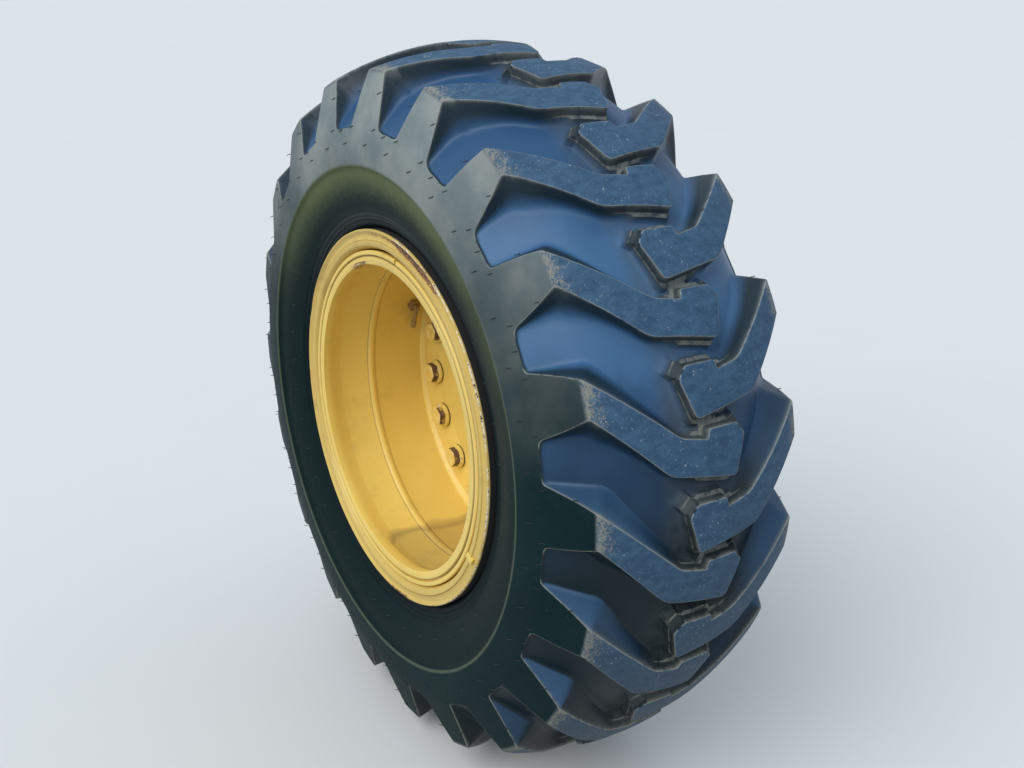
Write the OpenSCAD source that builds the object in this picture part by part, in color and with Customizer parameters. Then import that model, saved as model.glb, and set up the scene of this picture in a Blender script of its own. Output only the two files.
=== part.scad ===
// Tandem wheel of a motor grader with its hub and the housing that carries it on the tandem case.
// The axle lies along Y. The origin is on it, in the plane where the housing bolts to the case.
// +X points forward, +Z up, and -Y away from the machine. Sections are drawn in the plane of
// radius and distance from the case, then turned about the axle.

/* [Tyre] */
// Diameter over the lugs at the middle of the tread
tyre_d = 1348; // [1320:2:1380]
// Width of the tyre between its sidewalls, without the protector on each side
tyre_w = 455; // [446:1:464]
// Width of the tread between its two shoulder edges
tread_w = 393; // [380:1:400]
// Radius of the tread's crown from shoulder to shoulder
crown_r = 464; // [440:2:520]
// Radius of the groove floor from shoulder to shoulder
floor_r = 290; // [280:2:320]
// Depth of the grooves at the middle of the tread
tread_depth = 29; // [24:1:34]
// Lugs on each side of the tread
lugs = 20; // [18:1:22]
// Radius at which the grooves run out on the sidewall
groove_end_r = 535; // [528:1:545]
// Height of the step where the groove floor meets the sidewall
groove_step = 3.5; // [1:0.5:5]
// Radius at which the sidewall's protector steps down towards the rim
protector_r = 472; // [460:1:484]
// Height of the protector's step
protector_h = 7; // [4:0.5:9]
// Thickness of the sidewall
sidewall = 22; // [16:1:26]
// Thickness of rubber and plies under the grooves
crown_wall = 30; // [24:1:36]
// Width of the tyre's foot on the rim
foot_w = 62; // [50:1:66]
// Distance of the rubber beside the flange inside the flange's edge
heel_in = 6; // [3:0.5:12]
// Angle of the first shoulder corner above the forward direction
lug_start = 5.4; // [0:0.1:17]

/* [Rim] */
// Diameter of the rim at its bead seats
rim_d = 635; // [630:1:640]
// Distance between the inner faces of the two flanges
rim_w = 355.6; // [350:0.1:360]
// Height of the flanges above the bead seats
flange_h = 38.1; // [34:0.1:42]
// Width of each flange from its inner face to its edge
flange_w = 36.7; // [34:0.1:40]
// Height of the flange's edge face
flange_lip = 20.3; // [16:0.1:24]
// Depth of the dish in the flange's edge face
flange_dish = 4.8; // [2:0.2:6]
// Width of each bead seat
seat_w = 60; // [50:1:64]
// Drop of each bead seat over its width
seat_drop = 5; // [3:0.5:6]
// Height of the bead seats above the barrel's outside
seat_rise = 9; // [7:0.5:11]
// Thickness of the barrel
barrel_t = 8.5; // [6:0.5:12]
// Depth of the outer lip inside the barrel
lip_in = 10; // [6:0.5:14]
// Height of the outer lip from its inside to its rim
lip_h = 16; // [14:0.5:18]
// Width of the gutter that holds the lock ring
gutter_w = 18; // [14:0.5:20]
// Depth of the gutter below the lip's rim
gutter_h = 4; // [3:0.5:6]
// Opening of the gap in the lock ring
ring_gap = 6; // [3:0.5:12]
// Angle of the gap in the lock ring above the forward direction
ring_gap_angle = 82; // [0:1:359]
// Leg of the weld between the barrel and the disc
weld_leg = 10; // [6:0.5:14]
// Width of the seam weld inside the barrel
seam_w = 14; // [8:0.5:18]
// Height of the seam weld inside the barrel
seam_h = 3.5; // [1:0.5:5]
// Distance of the seam weld from the outer flange's edge
seam_in = 117; // [90:1:140]
// Distance from the case to the middle of the rim
rim_offset = 275.5; // [268:0.5:290]

/* [Disc and bolts] */
// Thickness of the wheel disc
disc_t = 16; // [12:1:20]
// Distance of the disc's outer face inboard of the rim's middle
disc_inset = 30.5; // [24:0.5:40]
// Distance of the bolt circle inside the barrel
bolt_edge = 57.5; // [50:0.5:64]
// Distance of the disc's pilot inside the bolt circle
pilot_edge = 30.5; // [28:0.5:40]
// Number of wheel bolts
wheel_bolts_n = 16; // [12:1:18]
// Angle of the first wheel bolt above the forward direction
bolt_start = 5; // [0:0.5:22]
// Nominal thread diameter of a wheel bolt
bolt_d = 24; // [20:1:27]
// Width of a wheel bolt's head across its flats
bolt_af = 36; // [32:1:40]
// Height of a wheel bolt's head
bolt_head_h = 15; // [12:1:18]
// Outside diameter of a wheel bolt's washer
washer_d = 50; // [46:1:54]
// Thickness of a wheel bolt's washer
washer_t = 9; // [5:0.5:10]

/* [Valve] */
// Angle of the valve above the forward direction
valve_angle = 155; // [140:1:170]
// Distance of the valve outboard of the disc's outer face
valve_out = 40; // [30:1:60]
// Length of the valve's stem
valve_length = 46; // [35:1:60]
// Diameter of the valve's stem
valve_d = 9; // [7:0.5:12]
// Width across the corners of the valve's base
valve_base_d = 27; // [22:1:32]
// Height of the valve's base
valve_base_h = 9; // [6:0.5:12]
// Length of the valve's open collar
valve_collar = 14; // [10:1:18]

/* [Hub] */
// Distance of the hub flange's edge outside the bolt circle
hub_edge = 31.5; // [28:0.5:36]
// Thickness of the hub's flange
hub_flange_t = 25; // [20:1:30]
// Height of the hub's pilot above the back of the disc
pilot_h = 22; // [18:1:26]
// Radius of the spindle where it runs in the housing
spindle_r = 75; // [60:1:80]
// Radius of the spindle's drive end
drive_r = 50; // [40:1:55]
// Length of the plain seat on the drive end
drive_seat = 64; // [50:1:70]
// Length of the splines on the drive end
spline_l = 86; // [60:1:100]
// Height of the splines
spline_h = 5; // [3:0.5:6]
// Number of splines on the drive end
splines = 30; // [20:1:36]
// Radius of the cover on the end of the spindle
cover_r = 96; // [85:1:110]
// Thickness of the spindle's cover
cover_t = 10; // [6:1:14]
// Distance of the cover's bolts inside its edge
cover_edge = 16; // [12:1:20]
// Number of bolts in the cover
cover_bolts_n = 6; // [4:1:8]
// Thread diameter of the cover's bolts
cover_bolt_d = 12; // [10:1:14]

/* [Housing] */
// Radius of the circle of bolt holes to the case
case_circle_r = 210; // [206:1:214]
// Distance of the flange's edge outside that circle
case_edge = 25; // [20:1:30]
// Thickness of the housing's flange
case_flange_t = 22; // [18:1:28]
// Number of bolt holes to the case
case_bolts_n = 16; // [12:1:18]
// Radius of each bolt hole to the case
case_hole_r = 11; // [9:0.5:12]
// Radius of the pilot that enters the case
case_pilot_r = 150; // [140:1:160]
// Height of the pilot that enters the case
case_pilot_h = 14; // [8:1:20]
// Number of ribs between the two flanges
housing_ribs = 8; // [6:1:10]
// Thickness of each rib
rib_t = 12; // [8:1:16]
// Outside radius of the brake housing
brake_r = 222; // [215:1:228]
// Distance from the case to the brake housing's inboard face
brake_start = 62; // [56:1:70]
// Thickness of the flange that carries the brake housing
brake_flange_t = 8; // [6:1:12]
// Gap between the brake housing and the hub
hub_gap = 20; // [12:1:26]
// Number of bolts round the brake housing
brake_bolts_n = 12; // [8:1:16]
// Thread diameter of those bolts
brake_bolt_d = 14; // [10:1:16]
// Width across the flats of the brake's inlet fitting
inlet_af = 26; // [20:1:30]
// Width across the flats of the bleeder screw
bleeder_af = 14; // [10:1:18]

/* [Hidden] */
$fn = 120;

// Colours
rubber = [0.10, 0.12, 0.14];
paint = [0.83, 0.66, 0.20];
casting = [0.45, 0.43, 0.36];
steel = [0.55, 0.54, 0.52];

// Clearance between pieces that are assembled, between a running shaft and its bore,
// and round a bolt in its hole
seat = 0.2;
running = 0.06;
hole_play = 1;

// Radii and planes that the pieces share
tyre_r = tyre_d / 2;
half_w = tyre_w / 2;
half_tread = tread_w / 2;
bead_r = rim_d / 2;
flange_r = bead_r + flange_h;
flange_foot_r = flange_r - flange_lip;
half_rim = rim_w / 2;
rim_edge = half_rim + flange_w;
barrel_out = bead_r - seat_rise;
barrel_r = barrel_out - barrel_t;
lip_r = barrel_r - lip_in;
lip_top = lip_r + lip_h;
bolt_circle_r = barrel_r - bolt_edge;
pilot_r = bolt_circle_r - pilot_edge;
hub_flange_r = bolt_circle_r + hub_edge;
disc_face = rim_offset - disc_inset;
disc_back = disc_face - disc_t;
hub_back = disc_back - hub_flange_t;
case_flange_r = case_circle_r + case_edge;

// Radius of the tread's crown and of the groove floor at a distance from the tyre's middle
function crown_height(v) = tyre_r - v * v / (2 * crown_r);
function floor_height(v) = tyre_r - tread_depth - v * v / (2 * floor_r);
shoulder_r = crown_height(half_tread);

// Point that lies a share of the way from one point to another, with its own share on each axis
function part_way(a, b, share) = [a[0] + (b[0] - a[0]) * share[0], a[1] + (b[1] - a[1]) * share[1]];

// Everything turned about the axle is drawn with Z pointing outboard from the case
module on_axle() { rotate([90, 0, 0]) children(); }
module at_rim() { translate([0, 0, rim_offset]) children(); }
module ring_of(n, r, start = 0) {
    for (k = [0 : n - 1]) rotate(start + k * 360 / n) translate([r, 0, 0]) children();
}
module tube(r_out, r_in, length) {
    difference() {
        cylinder(r = r_out, h = length);
        translate([0, 0, -1]) cylinder(r = r_in, h = length + 2);
    }
}
module hex_bolt(af, d, head_h, length) {
    intersection() {
        cylinder(d = af / cos(30), h = head_h, $fn = 6);
        rotate_extrude() polygon([[0, 0], [af * 0.6, 0], [af * 0.6, head_h * 0.82],
                                  [af * 0.46, head_h], [0, head_h]]);
    }
    translate([0, 0, -length]) cylinder(d = d, h = length + 1);
}

// Tyre section, as [radius, distance from the tyre's middle]
floor_end = [floor_height(half_tread * 0.875), half_tread * 0.875];
groove_end = [groove_end_r, half_w];
groove_floor = concat([for (k = [0 : 5]) let (v = k * half_tread * 0.15) [floor_height(v), v]],
                      [floor_end], [for (t = [[0.46, 0.36], [0.80, 0.72]]) part_way(floor_end, groove_end, t)],
                      [groove_end - [0, groove_step]]);
plate_v = half_w + protector_h + 2;
cove_v = half_w + 2;
side_face = [groove_end, part_way(groove_end, [protector_r, plate_v], [0.5, 0.62]),
             [protector_r + 4, plate_v - 0.5], [protector_r, plate_v - 1],
             [protector_r - protector_h, cove_v], [protector_r - 4 * protector_h, cove_v - 2]];
// The flange's curve, a quarter circle
function flange_curve(gap) = [for (a = [90 : -15 : 0])
    [flange_r + gap - flange_w / 2 * (1 - sin(a)), half_rim - gap + flange_w / 2 * (1 - cos(a))]];
heel = [flange_r + 2, rim_edge - heel_in];
cove = [for (t = [[0.62, 0.86], [0.40, 0.63], [0.18, 0.34]])
    part_way(heel, [protector_r - 4 * protector_h, cove_v - 2], t)];
bead_face = concat([heel], flange_curve(seat), [[bead_r + 6, half_rim - seat], [bead_r + seat, half_rim - 6],
                                                [bead_r - seat_drop + seat, half_rim - seat_w]]);
belly_r = (flange_r + groove_end_r) / 2;
inner_face = [[bead_r + 12, half_rim - foot_w], [flange_r + 10, half_rim - sidewall * 0.9],
              [belly_r, half_w - sidewall], [(belly_r + groove_end_r) / 2, half_w - sidewall - 1],
              part_way(groove_end, floor_end, [0, 0.6]) - [8, 0],
              part_way(groove_end, floor_end, [0.3, 1.1]) - [0, sidewall * 0.4],
              [floor_height(half_tread * 0.7) - crown_wall, half_tread * 0.66],
              [floor_height(half_tread * 0.36) - crown_wall, half_tread * 0.36],
              [floor_height(0) - crown_wall, 0]];
half_section = concat(groove_floor, side_face, cove, bead_face, inner_face);
module both_halves(outline) {
    polygon(outline);
    mirror([0, 1]) polygon(outline);
}

// Space that the lugs fill, from crown to sidewall
lug_root = crown_wall / 2;
lug_space = concat([for (k = [0 : 6]) let (v = k * half_tread / 7) [crown_height(v), v]],
                   [[shoulder_r, half_tread], part_way([shoulder_r, half_tread], groove_end, [0.5, 0.54]),
                    groove_end, groove_end - [lug_root, lug_root], part_way(groove_end, floor_end, [0.1, 0.9]),
                    [floor_height(half_tread * 0.56) - lug_root, half_tread * 0.56],
                    [floor_height(0) - lug_root, 0]]);

// Top of a lug, from its own shoulder across the tread and back. Columns: distance from the tyre's
// middle as a share of the half tread, and angle below its shoulder corner as a share of the pitch
lug_top = [[1.02, 0], [0.328, 0.547], [0.089, 0.594], [0.071, 0.522], [-0.204, 0.522],
           [-0.282, 0.611], [-0.173, 0.906], [0.438, 0.806], [1.02, 0.283]];
lug_pitch = 360 / lugs;
lug_mid = 0.453 * lug_pitch;
// Buttress of a lug down its shoulder. Columns: share of the way from the shoulder to the groove's end,
// and half its width as a share of the pitch
buttress = [[-0.08, 0.136], [0.35, 0.231], [0.94, 0.294], [1.25, 0.311]];
buttress_mid = 0.142 * lug_pitch;
buttress_in = half_tread * 0.9;
inboard_shift = 0.47;
function buttress_corner(row, hand) = let (r = shoulder_r + (groove_end_r - shoulder_r) * row[0])
    [r * cos(row[1] * lug_pitch), hand * r * sin(row[1] * lug_pitch)];
module lug(side) {
    // The tread bar stands along the radius through its middle
    rotate(-lug_mid) rotate([90, 0, 90]) translate([0, 0, groove_end_r - lug_root])
        linear_extrude(tyre_r + 5 - groove_end_r + lug_root)
            polygon([for (p = lug_top) [tyre_r * sin(lug_mid - p[1] * lug_pitch), side * p[0] * half_tread]]);
    // The buttress stands along the axle
    rotate(-buttress_mid) translate([0, 0, side > 0 ? buttress_in : -half_w - 10])
        linear_extrude(half_w + 10 - buttress_in)
            polygon(concat([for (row = buttress) buttress_corner(row, 1)],
                           [for (k = [len(buttress) - 1 : -1 : 0]) buttress_corner(buttress[k], -1)]));
}
module tyre() {
    color(rubber) on_axle() at_rim() {
        rotate_extrude() both_halves(half_section);
        intersection() {
            rotate_extrude() both_halves(lug_space);
            for (k = [0 : lugs - 1]) {
                rotate(lug_start + k * lug_pitch) lug(1);
                rotate(lug_start + (k + inboard_shift) * lug_pitch) lug(-1);
            }
        }
    }
}

// Flange section, from the curve that backs the tyre to its edge
flange_heel = half_rim + flange_w / 2;
flange_toe = rim_edge - 7;
// The edge face is dished. Columns: height as a share of the face, and depth as a share of the dish
flange_face = [[0, 0.5], [0.2, 0.85], [0.4, 1], [0.62, 0.85], [0.84, 0], [0.96, 0], [1, 0.3]];
flange_section = concat(flange_curve(0), [[bead_r + seat, half_rim], [bead_r + seat, flange_heel],
    [flange_foot_r, flange_toe]],
    [for (p = flange_face) [flange_foot_r + p[0] * flange_lip, rim_edge - p[1] * flange_dish]]);
module outer_flange() {
    color(paint) on_axle() at_rim() rotate_extrude() polygon(flange_section);
}
module inner_flange() {
    color(paint) on_axle() at_rim() mirror([0, 0, 1]) rotate_extrude() polygon(flange_section);
}

// Rim base: gutter at the outer end, fixed seat and stop at the inner end
lip_face = rim_edge - 3.5;
gutter_out = rim_edge - 9.5;
gutter_in = gutter_out - gutter_w;
gutter_r = lip_top - gutter_h;
foot_r = flange_foot_r - seat;
base_section = [[lip_r, lip_face], [lip_top, lip_face], [lip_top, gutter_out], [gutter_r, gutter_out],
                [gutter_r, gutter_in], [barrel_out, gutter_in - 4],
                [barrel_out, seat_w - half_rim], [bead_r - seat_drop, seat_w - 6 - half_rim],
                [bead_r, -half_rim], [bead_r, -flange_heel - seat], [foot_r, -flange_toe - seat],
                [foot_r, 1 - rim_edge], [barrel_out - 1, 1 - rim_edge],
                [barrel_r, 16 - rim_edge], [barrel_r, gutter_in - gutter_w],
                [lip_r + 4, gutter_in + 2], [lip_r, gutter_out - 4]];
seam_at = rim_edge - seam_in;
weld_at = seat - disc_inset;
module rim_base() {
    color(paint) on_axle() at_rim() difference() {
        rotate_extrude() {
            polygon(base_section);
            polygon([[barrel_r + 1, seam_at - seam_w / 2], [barrel_r, seam_at - seam_w / 2],
                     [barrel_r - seam_h, seam_at - seam_w / 6], [barrel_r - seam_h, seam_at + seam_w / 6],
                     [barrel_r, seam_at + seam_w / 2], [barrel_r + 1, seam_at + seam_w / 2]]);
            polygon([[barrel_r + 1, weld_at], [barrel_r - weld_leg, weld_at],
                     [barrel_r - weld_leg * 0.8, weld_at + weld_leg * 0.5],
                     [barrel_r, weld_at + weld_leg * 1.2], [barrel_r + 1, weld_at + weld_leg * 1.2]]);
        }
        rotate(valve_angle) translate([barrel_r - barrel_t, 0, valve_out - disc_inset])
            rotate([0, 90, 0]) cylinder(r = valve_d, h = barrel_t * 4);
    }
}

// Band that slides over the base and carries the outer bead, and the split ring that locks it
band_r = barrel_out + seat;
band_lip = 10;
ring_top = foot_r - band_lip - 6;
band_section = [[bead_r - seat_drop, half_rim - seat_w], [bead_r, half_rim], [bead_r, flange_heel + seat],
                [foot_r, flange_toe + seat], [foot_r, rim_edge - 0.5], [foot_r - band_lip, rim_edge - 0.5],
                [ring_top, gutter_out - 2.5], [band_r + 3, gutter_in - 2],
                [band_r, gutter_in - 6], [band_r, half_rim - seat_w]];
module bead_seat_band() {
    color(paint) on_axle() at_rim() rotate_extrude() polygon(band_section);
}
ring_section = [[gutter_r + seat, gutter_in + seat], [band_r + 2, gutter_in + seat],
                [ring_top - 2 * seat, gutter_out - 2.5], [ring_top - 2 * seat, rim_edge - 3],
                [lip_top + 2, rim_edge - 3], [lip_top + 2, gutter_out - seat],
                [gutter_r + seat, gutter_out - seat]];
module lock_ring() {
    color(paint) on_axle() at_rim() difference() {
        rotate_extrude() polygon(ring_section);
        rotate(ring_gap_angle) translate([lip_r, -ring_gap / 2, 0])
            cube([flange_r - lip_r, ring_gap, rim_edge + 5]);
    }
}

// Disc, its bolts and their washers
module at_wheel_bolts() { ring_of(wheel_bolts_n, bolt_circle_r, bolt_start) children(); }
module wheel_disc() {
    color(paint) on_axle() translate([0, 0, disc_back]) difference() {
        tube(barrel_r - seat, pilot_r + seat, disc_t);
        at_wheel_bolts() translate([0, 0, -1]) cylinder(d = bolt_d + 2 * hole_play, h = disc_t + 2);
    }
}
module bolt_washers() {
    color(paint) on_axle() translate([0, 0, disc_face]) at_wheel_bolts()
        tube(washer_d / 2, bolt_d / 2 + hole_play, washer_t);
}
module wheel_bolts() {
    color(paint) on_axle() translate([0, 0, disc_face + washer_t]) at_wheel_bolts()
        rotate(17) hex_bolt(bolt_af, bolt_d, bolt_head_h, washer_t + disc_t + hub_flange_t + bolt_d / 6);
}

// Valve: a hexagonal base on the barrel, an elbow and a stem that lies along the barrel
valve_rise = valve_base_h + valve_d;
module at_valve() {
    rotate(valve_angle) translate([barrel_r, 0, rim_offset + valve_out - disc_inset])
        rotate([0, -90, 0]) children();
}
module valve_base() {
    color(paint) on_axle() at_valve() {
        translate([0, 0, 0.8]) cylinder(d = valve_base_d, h = valve_base_h - 0.8, $fn = 6);
        translate([0, 0, -barrel_t * 1.7]) cylinder(r = valve_d - seat, h = barrel_t * 1.7 + 2);
    }
}
module valve_stem() {
    color(paint) on_axle() at_valve() {
        translate([0, 0, valve_base_h]) cylinder(d = valve_d + 3, h = valve_rise - valve_base_h);
        translate([0, 0, valve_rise]) sphere(d = valve_d + 3);
        translate([0, 0, valve_rise]) rotate([-90, 0, 0]) {
            cylinder(d = valve_d, h = valve_length - valve_collar + 2);
            translate([0, 0, valve_length - valve_collar]) tube(valve_d / 2 + 1, valve_d / 2 - 1.5, valve_collar);
        }
    }
}

// Hub: a flanged spindle, its end cover and the cover's bolts
neck_r = spindle_r + 45;
housing_nose = hub_back - hub_gap;
drive_root = -case_pilot_h - 20;
drive_tip = drive_root - spline_l;
pilot_top = disc_back + pilot_h;
spindle_section = [[0, pilot_top], [pilot_r - 6, pilot_top], [pilot_r, pilot_top - 6],
                   [pilot_r, disc_back], [hub_flange_r, disc_back], [hub_flange_r, hub_back],
                   [neck_r + 50, hub_back], [neck_r + 22, hub_back - 6], [spindle_r, hub_back - 6],
                   [spindle_r, drive_root + drive_seat + 10], [drive_r, drive_root + drive_seat],
                   [drive_r, drive_root], [drive_r - spline_h, drive_root],
                   [drive_r - spline_h, drive_tip + spline_h], [drive_r - 2 * spline_h, drive_tip], [0, drive_tip]];
spline_w = 0.12 * drive_r;
module wheel_spindle() {
    color(paint) on_axle() difference() {
        union() {
            rotate_extrude() polygon(spindle_section);
            translate([0, 0, drive_tip + spline_h]) ring_of(splines, drive_r - spline_h)
                translate([-spline_h / 2, -spline_w / 2, 0]) cube([spline_h * 1.3, spline_w, spline_l * 0.86]);
        }
        at_wheel_bolts() translate([0, 0, hub_back - 1]) cylinder(d = bolt_d + 2 * seat, h = hub_flange_t + 2);
        at_cover_bolts() translate([0, 0, disc_back]) cylinder(d = cover_bolt_d + 2 * seat, h = pilot_h + 1);
    }
}
module at_cover_bolts() { ring_of(cover_bolts_n, cover_r - cover_edge, 30) children(); }
module spindle_cover() {
    color(paint) on_axle() translate([0, 0, pilot_top]) difference() {
        rotate_extrude() polygon([[0, 0], [cover_r, 0], [cover_r, cover_t - 3], [cover_r - 3, cover_t], [0, cover_t]]);
        at_cover_bolts() translate([0, 0, -1]) cylinder(d = cover_bolt_d + 2 * seat, h = cover_t + 2);
    }
}
module cover_bolts() {
    color(steel) on_axle() translate([0, 0, pilot_top + cover_t]) at_cover_bolts()
        hex_bolt(cover_bolt_d * 1.5, cover_bolt_d, cover_bolt_d * 0.66, cover_t + pilot_h - 4);
}

// Housing: a flanged bearing housing on the case, with the brake housing bolted to it
nose_gap = 8;
waist_r = case_circle_r - 50;
brake_flange_r = brake_r - 2;
brake_circle_r = brake_r - brake_bolt_d;
brake_back = brake_start - brake_flange_t;
bearing_section = [[spindle_r + running, -case_pilot_h], [case_pilot_r, -case_pilot_h], [case_pilot_r, 0],
                   [case_flange_r, 0], [case_flange_r, case_flange_t], [waist_r + 26, case_flange_t],
                   [waist_r + 8, case_flange_t + 8], [waist_r, brake_back - 8],
                   [waist_r + 12, brake_back], [brake_flange_r, brake_back], [brake_flange_r, brake_start],
                   [neck_r + 30, brake_start], [neck_r + 10, housing_nose - nose_gap],
                   [spindle_r + running, housing_nose - nose_gap]];
rib_out = case_circle_r - 2 * case_hole_r - 2;
module bearing_housing() {
    color(casting) on_axle() difference() {
        union() {
            rotate_extrude() polygon(bearing_section);
            ring_of(housing_ribs, 0, 360 / case_bolts_n / 2) translate([waist_r - 6, -rib_t / 2, case_flange_t - 1])
                cube([rib_out - waist_r + 6, rib_t, brake_back - case_flange_t + 2]);
        }
        ring_of(case_bolts_n, case_circle_r) translate([0, 0, -1]) cylinder(r = case_hole_r, h = case_flange_t + 2);
        ring_of(brake_bolts_n, brake_circle_r, 15)
            translate([0, 0, brake_back - 1]) cylinder(d = brake_bolt_d + 2 * seat, h = brake_flange_t + 2);
    }
}
brake_waist = brake_r - 12;
brake_section = [[neck_r + 30 + seat, brake_start], [brake_r, brake_start], [brake_r, brake_start + 18],
                 [brake_waist, brake_start + 26], [brake_waist, housing_nose - 22],
                 [brake_r - 30, housing_nose], [neck_r + 14, housing_nose], [neck_r + 11, housing_nose - 6]];
module brake_housing() {
    color(casting) on_axle() difference() {
        rotate_extrude() polygon(brake_section);
        ring_of(brake_bolts_n, brake_circle_r, 15)
            translate([0, 0, brake_start - 1]) cylinder(d = brake_bolt_d + 2 * seat, h = 16);
    }
}
module brake_bolts() {
    color(steel) on_axle() translate([0, 0, brake_back]) ring_of(brake_bolts_n, brake_circle_r, 15)
        mirror([0, 0, 1]) hex_bolt(brake_bolt_d * 1.5, brake_bolt_d, brake_bolt_d * 0.64, brake_flange_t + 12);
}
fitting_at = (brake_start + housing_nose) / 2;
module brake_inlet() {
    color(steel) on_axle() rotate(100) translate([brake_waist, 0, fitting_at]) rotate([0, 90, 0]) {
        cylinder(d = inlet_af / cos(30), h = inlet_af * 0.45, $fn = 6);
        cylinder(d = inlet_af * 0.6, h = inlet_af);
    }
}
module bleeder_screw() {
    color(steel) on_axle() rotate(76) translate([brake_waist, 0, fitting_at]) rotate([0, 90, 0]) {
        cylinder(d = bleeder_af / cos(30), h = bleeder_af * 0.6, $fn = 6);
        cylinder(d = bleeder_af * 0.5, h = bleeder_af * 1.6);
    }
}

tyre();
rim_base();
inner_flange();
outer_flange();
bead_seat_band();
lock_ring();
wheel_disc();
bolt_washers();
wheel_bolts();
valve_base();
valve_stem();
wheel_spindle();
spindle_cover();
cover_bolts();
bearing_housing();
brake_housing();
brake_bolts();
brake_inlet();
bleeder_screw();
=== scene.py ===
# %% [markdown]
# # A motor grader's tandem wheel
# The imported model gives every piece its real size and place: a tyre on a five-piece rim, the disc bolted
# to a flanged spindle, and the housing that carries it. This script keeps that frame and gives each
# surface its finish. Radii are measured from the axle, which lies along Y, and `out` is the distance
# outboard of the tyre's middle plane, so a section is a short list of (radius, out) pairs.

# %% Load the frame
import bpy
import bmesh
import math
import numpy as np
from mathutils import Matrix, Vector
from mathutils.geometry import delaunay_2d_cdt


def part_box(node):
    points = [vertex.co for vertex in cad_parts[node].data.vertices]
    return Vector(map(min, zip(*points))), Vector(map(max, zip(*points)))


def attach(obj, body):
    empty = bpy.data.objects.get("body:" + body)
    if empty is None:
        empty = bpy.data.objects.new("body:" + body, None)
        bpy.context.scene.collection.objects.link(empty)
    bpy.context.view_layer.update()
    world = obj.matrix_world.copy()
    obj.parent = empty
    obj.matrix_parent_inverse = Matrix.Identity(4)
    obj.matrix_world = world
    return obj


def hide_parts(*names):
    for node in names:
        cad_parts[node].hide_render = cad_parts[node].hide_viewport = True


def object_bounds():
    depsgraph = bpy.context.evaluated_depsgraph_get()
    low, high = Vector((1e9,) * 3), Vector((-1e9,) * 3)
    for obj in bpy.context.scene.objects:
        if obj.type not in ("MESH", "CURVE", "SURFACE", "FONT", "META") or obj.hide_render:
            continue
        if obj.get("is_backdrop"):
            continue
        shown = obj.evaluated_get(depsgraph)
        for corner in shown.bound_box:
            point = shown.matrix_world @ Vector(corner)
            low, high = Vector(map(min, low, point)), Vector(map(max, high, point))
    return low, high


MM = 0.001
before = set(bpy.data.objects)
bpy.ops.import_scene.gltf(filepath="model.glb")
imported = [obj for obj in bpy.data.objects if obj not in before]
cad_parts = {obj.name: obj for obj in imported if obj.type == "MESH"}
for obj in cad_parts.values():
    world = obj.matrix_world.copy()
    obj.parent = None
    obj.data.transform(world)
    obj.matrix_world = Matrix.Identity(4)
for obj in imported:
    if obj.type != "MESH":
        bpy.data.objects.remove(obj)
cad_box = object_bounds()


# %% Measure what the pieces share
def measured(node):
    """A turned piece's radius, and where its outboard face stands on the Y axis."""
    low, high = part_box(node)
    return (high[2] - low[2]) / 2, low[1]


tyre_low, tyre_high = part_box("tyre")
MIDDLE_Y = (tyre_low[1] + tyre_high[1]) / 2
TYRE_HALF = (tyre_high[1] - tyre_low[1]) / 2
TYRE_R, _ = measured("tyre")
FLANGE_R, flange_face = measured("outer_flange")
DISC_R, disc_face = measured("wheel_disc")
RIM_EDGE = MIDDLE_Y - flange_face
DISC_OUT = MIDDLE_Y - disc_face
print("tyre radius", round(TYRE_R, 4), "half width", round(TYRE_HALF, 4), "disc at", round(DISC_OUT, 4))


def around(radius, out, angle):
    """A point at a radius and angle round the axle, `out` metres outboard of the tyre's middle."""
    return (radius * math.cos(angle), MIDDLE_Y - out, radius * math.sin(angle))


def mm(points):
    """An outline that is written in millimetres, in metres."""
    return np.array(points) * MM


def placed(name, data):
    """An object for a mesh, a lamp or a camera, at the origin of the scene."""
    made = bpy.data.objects.new(name, data)
    bpy.context.scene.collection.objects.link(made)
    return made


# %% [markdown]
# ## The view
# The camera was solved from the rim's circles and the tips of the lugs: it stands ahead of the wheel,
# outboard of it and a little above, and looks back and down. One broad soft lamp stands in for a bright
# sky, so far away that it lights the wheel and the whole floor alike.

# %% Camera and lamp
CAMERA_AT = Vector((1.85355, -1.41429, 0.82152))
CAMERA_TURN = -0.9958
CAMERA_TILT = -0.3491
CAMERA_ROLL = 0.0034
SENSOR = 36.0
FOCAL_PIXELS = 1188.21
PICTURE_WIDTH = 1024
LAMP_FROM = Vector((1.1, -3.3, 3.2))
LAMP_SPREAD = math.radians(44)
LAMP_STRENGTH = 1.85
LAMP_COLOUR = (1.0, 0.99, 0.97)


def add_camera():
    ahead = Vector((math.sin(CAMERA_TURN) * math.cos(CAMERA_TILT),
                    math.cos(CAMERA_TURN) * math.cos(CAMERA_TILT), math.sin(CAMERA_TILT)))
    right = ahead.cross(Vector((0, 0, 1))).normalized()
    up = right.cross(ahead)
    turned_right = right * math.cos(CAMERA_ROLL) + up * math.sin(CAMERA_ROLL)
    turned_up = up * math.cos(CAMERA_ROLL) - right * math.sin(CAMERA_ROLL)
    data = bpy.data.cameras.new("camera")
    data.sensor_width = SENSOR
    data.lens = FOCAL_PIXELS / PICTURE_WIDTH * SENSOR
    camera = placed("camera", data)
    turn = Matrix((turned_right, turned_up, -ahead)).transposed().to_4x4()
    camera.matrix_world = Matrix.Translation(CAMERA_AT) @ turn
    bpy.context.scene.camera = camera


def add_sky_lamp():
    data = bpy.data.lights.new("sky", "SUN")
    data.angle = LAMP_SPREAD
    data.energy = LAMP_STRENGTH
    data.color = LAMP_COLOUR
    aim = (-LAMP_FROM).to_track_quat("-Z", "Y").to_matrix().to_4x4()
    placed("sky", data).matrix_world = Matrix.Translation(LAMP_FROM) @ aim


add_camera()
add_sky_lamp()
bpy.context.scene.view_settings.view_transform = "Standard"

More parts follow.
